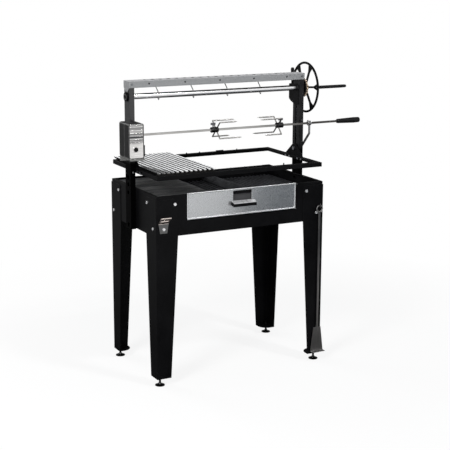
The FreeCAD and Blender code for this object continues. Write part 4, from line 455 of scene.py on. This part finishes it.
BODY_OF = {node: body for body, nodes in frame["record"]["behaviour"]["bodies"].items() for node in nodes}
for name, cad in frame["nodes"].items():
    for slot in cad.material_slots:
        slot.material = LOOKS[name]

# ---------------------------------------------------------------- pieces with rounded edges

# Widths of the rounded edges in metres.
ROUNDINGS = {
    "firebox_front": 0.0008, "firebox_back": 0.0008,
    "firebox_side_left": 0.0008, "firebox_side_right": 0.0008,
    "leg_front_left": 0.0008, "leg_front_right": 0.0008, "leg_back_left": 0.0008, "leg_back_right": 0.0008,
    "column_left": 0.0005, "column_right": 0.0005, "crossbar": 0.0006, "drawer_front": 0.0006,
    "grill_frame": 0.0012, "gusset_plates": 0.0008, "hearth_plates": 0.0008,
    "ember_divider": 0.0008, "motor_bracket": 0.0006, "motor_case": 0.0006, "motor_cover": 0.0005,
    "bottle_opener": 0.0004, "ash_tool": 0.0005, "bearing_plate": 0.0006, "spit_cradle": 0.0005,
}
BOLT_ROUNDING, PULL_ROUNDING, PAN_ROUNDING = 0.0022, 0.0006, 0.0005
# Points nearer than this many metres are one, and angles are in degrees.
WELD_REACH, FLAT_ANGLE, SHARP_ANGLE = 2e-6, 0.4, 32


def placed(name, data):
    """A new object in the scene."""
    made = bpy.data.objects.new(name, data)
    bpy.context.scene.collection.objects.link(made)
    return made


def smooth_mesh(shape, name, angle):
    """A mesh of a shape, shaded smooth except at edges sharper than an angle in degrees."""
    mesh = bpy.data.meshes.new(name)
    shape.to_mesh(mesh)
    shape.free()
    mesh.polygons.foreach_set("use_smooth", [True] * len(mesh.polygons))
    mesh.set_sharp_from_angle(angle=math.radians(angle))
    return mesh


def apply_modifiers(piece):
    """Turns the modifiers into the piece's own mesh."""
    bpy.context.view_layer.update()
    piece.data = bpy.data.meshes.new_from_object(piece.evaluated_get(bpy.context.evaluated_depsgraph_get()))
    piece.modifiers.clear()


def softened(node, width, segments=2, part="", keep=None, look=None, clamp=False):
    """A copy of a CAD node, or of its kept part, with its sharp edges rounded over, which stands for it."""
    shape = bmesh.new()
    shape.from_mesh(frame["nodes"][node].data)
    bmesh.ops.remove_doubles(shape, verts=shape.verts, dist=WELD_REACH)
    if keep:
        bmesh.ops.delete(shape, geom=[vert for vert in shape.verts if not keep(vert.co)], context="VERTS")
    bmesh.ops.dissolve_limit(
        shape, angle_limit=math.radians(FLAT_ANGLE), verts=shape.verts, edges=shape.edges)
    piece = placed(node + part + "_detail", smooth_mesh(shape, node + part + "_shape", SHARP_ANGLE))
    rounding = piece.modifiers.new("edges", "BEVEL")
    rounding.width, rounding.segments = width, segments
    rounding.limit_method, rounding.angle_limit = "ANGLE", math.radians(SHARP_ANGLE)
    rounding.use_clamp_overlap = clamp
    piece.modifiers.new("faces", "WEIGHTED_NORMAL").keep_sharp = True
    apply_modifiers(piece)
    piece.data.materials.clear()
    piece.data.materials.append(look or LOOKS[node])
    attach(piece, BODY_OF[node])
    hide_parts(node)


for name, width in ROUNDINGS.items():
    softened(name, width)
softened("leg_bolts", BOLT_ROUNDING, segments=4, clamp=True)

# ---------------------------------------------------------------- the drawer's pull

# The pull ends and the pan starts at the drawer front's back, less a hair for rounding.
HAIR = 1e-5
PULL_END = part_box("drawer_front")[1].y - HAIR
# In metres: the ledge's front edge over the pull's lowest point, its rise to the back, and the strip's sizes.
PULL_DROP, PULL_RISE = 0.016, 0.006
STRIP_THICK, STRIP_SUNK, STRIP_PROUD, STRIP_INSET = 0.0008, 0.0002, 0.0005, 0.0006
STRIP_TURN, STRIP_CORNER, STRIP_CLEAR = 0.0016, 0.0004, 0.0003
STRIP_ANGLE = 40


def pull_highlight_strip():
    """Painted highlight: a bright strip over the pull's ledge that turns over its front edge."""
    low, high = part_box("drawer_handle")
    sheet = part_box("drawer_front")[0].y - STRIP_CLEAR
    level, slope = low.z + PULL_DROP, PULL_RISE / (sheet - low.y)
    back, ledge = sheet - STRIP_SUNK, level + PULL_RISE
    front, turned, inner = low.y - STRIP_PROUD, level - STRIP_TURN, 2 * STRIP_INSET
    outline = [
        (low.y + STRIP_INSET, turned), (front + STRIP_CORNER, turned), (front, turned + STRIP_CORNER),
        (front, level + STRIP_SUNK), (low.y, level + STRIP_THICK), (back, ledge + STRIP_THICK),
        (back, ledge - STRIP_SUNK), (low.y + inner, level + inner * slope - STRIP_SUNK)]
    shape = bmesh.new()
    ends = [[shape.verts.new((side, *point)) for point in outline]
            for side in (low.x + STRIP_INSET, high.x - STRIP_INSET)]
    for first in range(len(outline)):
        second = (first + 1) % len(outline)
        shape.faces.new((ends[0][first], ends[0][second], ends[1][second], ends[1][first]))
    shape.faces.new(ends[0][::-1])
    shape.faces.new(ends[1])
    bmesh.ops.recalc_face_normals(shape, faces=shape.faces)
    piece = placed("pull_highlight_strip", smooth_mesh(shape, "pull_trim_shape", STRIP_ANGLE))
    piece.data.materials.append(bright_zinc("highlight_strip_steel", (0.7, 0.7, 0.71), metal=0.5))
    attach(piece, "ash_drawer")


softened("drawer_handle", PULL_ROUNDING, part="_pull", keep=lambda place: place.y < PULL_END)
softened("drawer_handle", PAN_ROUNDING, part="_pan", keep=lambda place: place.y > PULL_END,
         look=powder_coat("pan_coat", (0.03, 0.03, 0.032), gloss=0.3, sheen=0.6))
pull_highlight_strip()

# ---------------------------------------------------------------- floor, light and camera

WHITE, DAYLIGHT = grey(1), (0.96, 0.98, 1)
# The room: strengths of its light, where its bright front is, and how near to it the glow starts and is full.
PLAIN_LIGHT, DIM_ROOM, FRONT_GLOW = 0.32, 0.1, 1.05
BRIGHT_FRONT, GLOW_FROM, GLOW_FULL = (0.1, -1, 0.25), -0.1, 0.85
# The floor for the camera: its half side and the distances between which the shadow fades, in metres.
FLOOR_HALF, SHADOW_NEAR, SHADOW_GONE = 60, 1.0, 2.2
FLOOR_GLOW, FLOOR_SHADE = 0.82, 0.2
# The floor in reflections: its strengths near the grill, far from it and behind it, and where they change.
NEAR_GLOW, FAR_GLOW, BEHIND_GLOW = 0.1, 0.95, 0.3
NEAR_END, FAR_START, FRONT_END, BEHIND_START = 0.8, 3.2, -1.5, 1.5
# The card in metres, its lower and upper colours, and the heights between which they change.
CARD = {"left": 0.2, "right": 1.2, "away": -0.85, "low": 0.3, "high": 0.95}
CARD_DARK, CARD_LIGHT = (0.02, 0.028, 0.036), (0.10, 0.13, 0.16)
CARD_DARK_END, CARD_LIGHT_START = 0.45, 0.95
# The camera: sensor and lens in millimetres, places in metres, and a turn in degrees.
SENSOR_WIDTH, FOCAL_LENGTH = 36, 94.3
CAMERA_PLACE, CAMERA_TARGET, CAMERA_ROLL = (-2.596, -4.813, 1.893), (-0.0729, 0.00975, 0.6485), 0.2256


def studio():
    """White for the camera, plain for diffuse light, and a bright front in a dim room for metal and glass."""
    world = bpy.data.worlds.new("studio")
    bpy.context.scene.world = world
    world.use_nodes = True
    world.node_tree.nodes.clear()
    nodes = Nodes(world.node_tree)
    path = nodes.make("LightPath").outputs
    facing = nodes.add(
        "VectorMath", {0: nodes.add("TexCoord", output="Generated"), 1: Vector(BRIGHT_FRONT).normalized()},
        "Value", operation="DOT_PRODUCT")
    glow = nodes.to_range(
        facing, DIM_ROOM, FRONT_GLOW, GLOW_FROM, GLOW_FULL, interpolation_type="SMOOTHSTEP")
    room = nodes.add("Background", {"Color": WHITE, "Strength": glow})
    plain = nodes.add("Background", {"Color": DAYLIGHT, "Strength": PLAIN_LIGHT})
    white = nodes.add("Background", {"Color": WHITE, "Strength": 1})
    in_metal = nodes.maths("MAXIMUM", path["Is Glossy Ray"], path["Is Transmission Ray"])
    light = nodes.add("MixShader", {0: in_metal, 1: plain, 2: room})
    light = nodes.add("MixShader", {0: path["Is Camera Ray"], 1: light, 2: white})
    nodes.make("OutputWorld", {0: light})


def plate(name, corners, material):
    """A flat stage piece."""
    mesh = bpy.data.meshes.new(name)
    mesh.from_pydata(corners, [], [tuple(range(len(corners)))])
    mesh.materials.append(material)
    made = placed(name, mesh)
    return made


def floor_white():
    """Near white with the grill's shadow for the camera, and dim under the grill in reflections."""
    paint = Paint("floor_white")
    paint.set(Base_Color=grey(0.8), Roughness=0.9, Specular_IOR_Level=0.0)
    away = paint.add("VectorMath", {0: paint.place()}, "Value", operation="LENGTH")
    near = paint.add("AddShader", {
        0: paint.add("Emission", {"Color": WHITE, "Strength": FLOOR_GLOW}),
        1: paint.add("BsdfDiffuse", {"Color": grey(FLOOR_SHADE)})})
    white = paint.add("Emission", {"Color": WHITE, "Strength": 1.0})
    shown = paint.add("MixShader", {0: paint.mask(away, SHADOW_NEAR, SHADOW_GONE), 1: near, 2: white})
    outwards = paint.to_range(away, NEAR_GLOW, FAR_GLOW, NEAR_END, FAR_START)
    backwards = paint.to_range(paint.axis("Y"), 1, BEHIND_GLOW, FRONT_END, BEHIND_START)
    mirrored = paint.add("Emission", {"Strength": paint.maths("MULTIPLY", outwards, backwards)})
    path = paint.make("LightPath").outputs
    surface = paint.add("MixShader", {0: path["Is Glossy Ray"], 1: paint.shader.outputs[0], 2: mirrored})
    return paint.show(paint.add("MixShader", {0: path["Is Camera Ray"], 1: surface, 2: shown}))


def floor():
    corners = ((-1, -1), (1, -1), (1, 1), (-1, 1))
    plate("floor", [(x * FLOOR_HALF, y * FLOOR_HALF, 0) for x, y in corners], floor_white())


def dark_card():
    """A dusky card in front of the drawer, unseen itself, which darkens the drawer's right end."""
    paint = Paint("card_dusk")
    colour = paint.blend(paint.mask(paint.axis("Z"), CARD_DARK_END, CARD_LIGHT_START), CARD_DARK, CARD_LIGHT)
    material = paint.show(paint.add("Emission", {"Color": colour, "Strength": 1.0}))
    corners = (("left", "low"), ("right", "low"), ("right", "high"), ("left", "high"))
    card = plate("dark_card", [(CARD[side], CARD["away"], CARD[level]) for side, level in corners], material)
    card.visible_camera = card.visible_diffuse = card.visible_shadow = False
    card.visible_transmission = card.visible_volume_scatter = False


def lamp(name, place, target, size, power):
    """A round lamp, of a size in metres and a power in watts, turned to its target."""
    light = bpy.data.lights.new(name, "AREA")
    light.shape, light.size, light.energy = "DISK", size, power
    made = placed(name, light)
    made.location = place
    made.rotation_euler = (Vector(target) - Vector(place)).to_track_quat("-Z", "Y").to_euler()


def camera():
    """The camera at the photograph's viewing angle."""
    lens = bpy.data.cameras.new("camera")
    lens.sensor_width, lens.lens = SENSOR_WIDTH, FOCAL_LENGTH
    made = placed("camera", lens)
    made.location = CAMERA_PLACE
    turn = (Vector(CAMERA_TARGET) - Vector(CAMERA_PLACE)).to_track_quat("-Z", "Y")
    made.rotation_euler = (turn @ Quaternion((0, 0, 1), math.radians(CAMERA_ROLL))).to_euler()
    bpy.context.scene.camera = made


GRILL_MIDDLE = (0, 0, 0.8)
studio()
floor()
dark_card()
lamp("key", place=(-4.0, -2.4, 3.4), target=GRILL_MIDDLE, size=1.6, power=130)
lamp("front", place=(1.7, -3.9, 5.6), target=GRILL_MIDDLE, size=0.8, power=120)
lamp("back", place=(-2.2, 3.9, 2.9), target=(-0.3, 0, 0.95), size=3.2, power=60)
camera()
bpy.context.scene.view_settings.view_transform = "Standard"
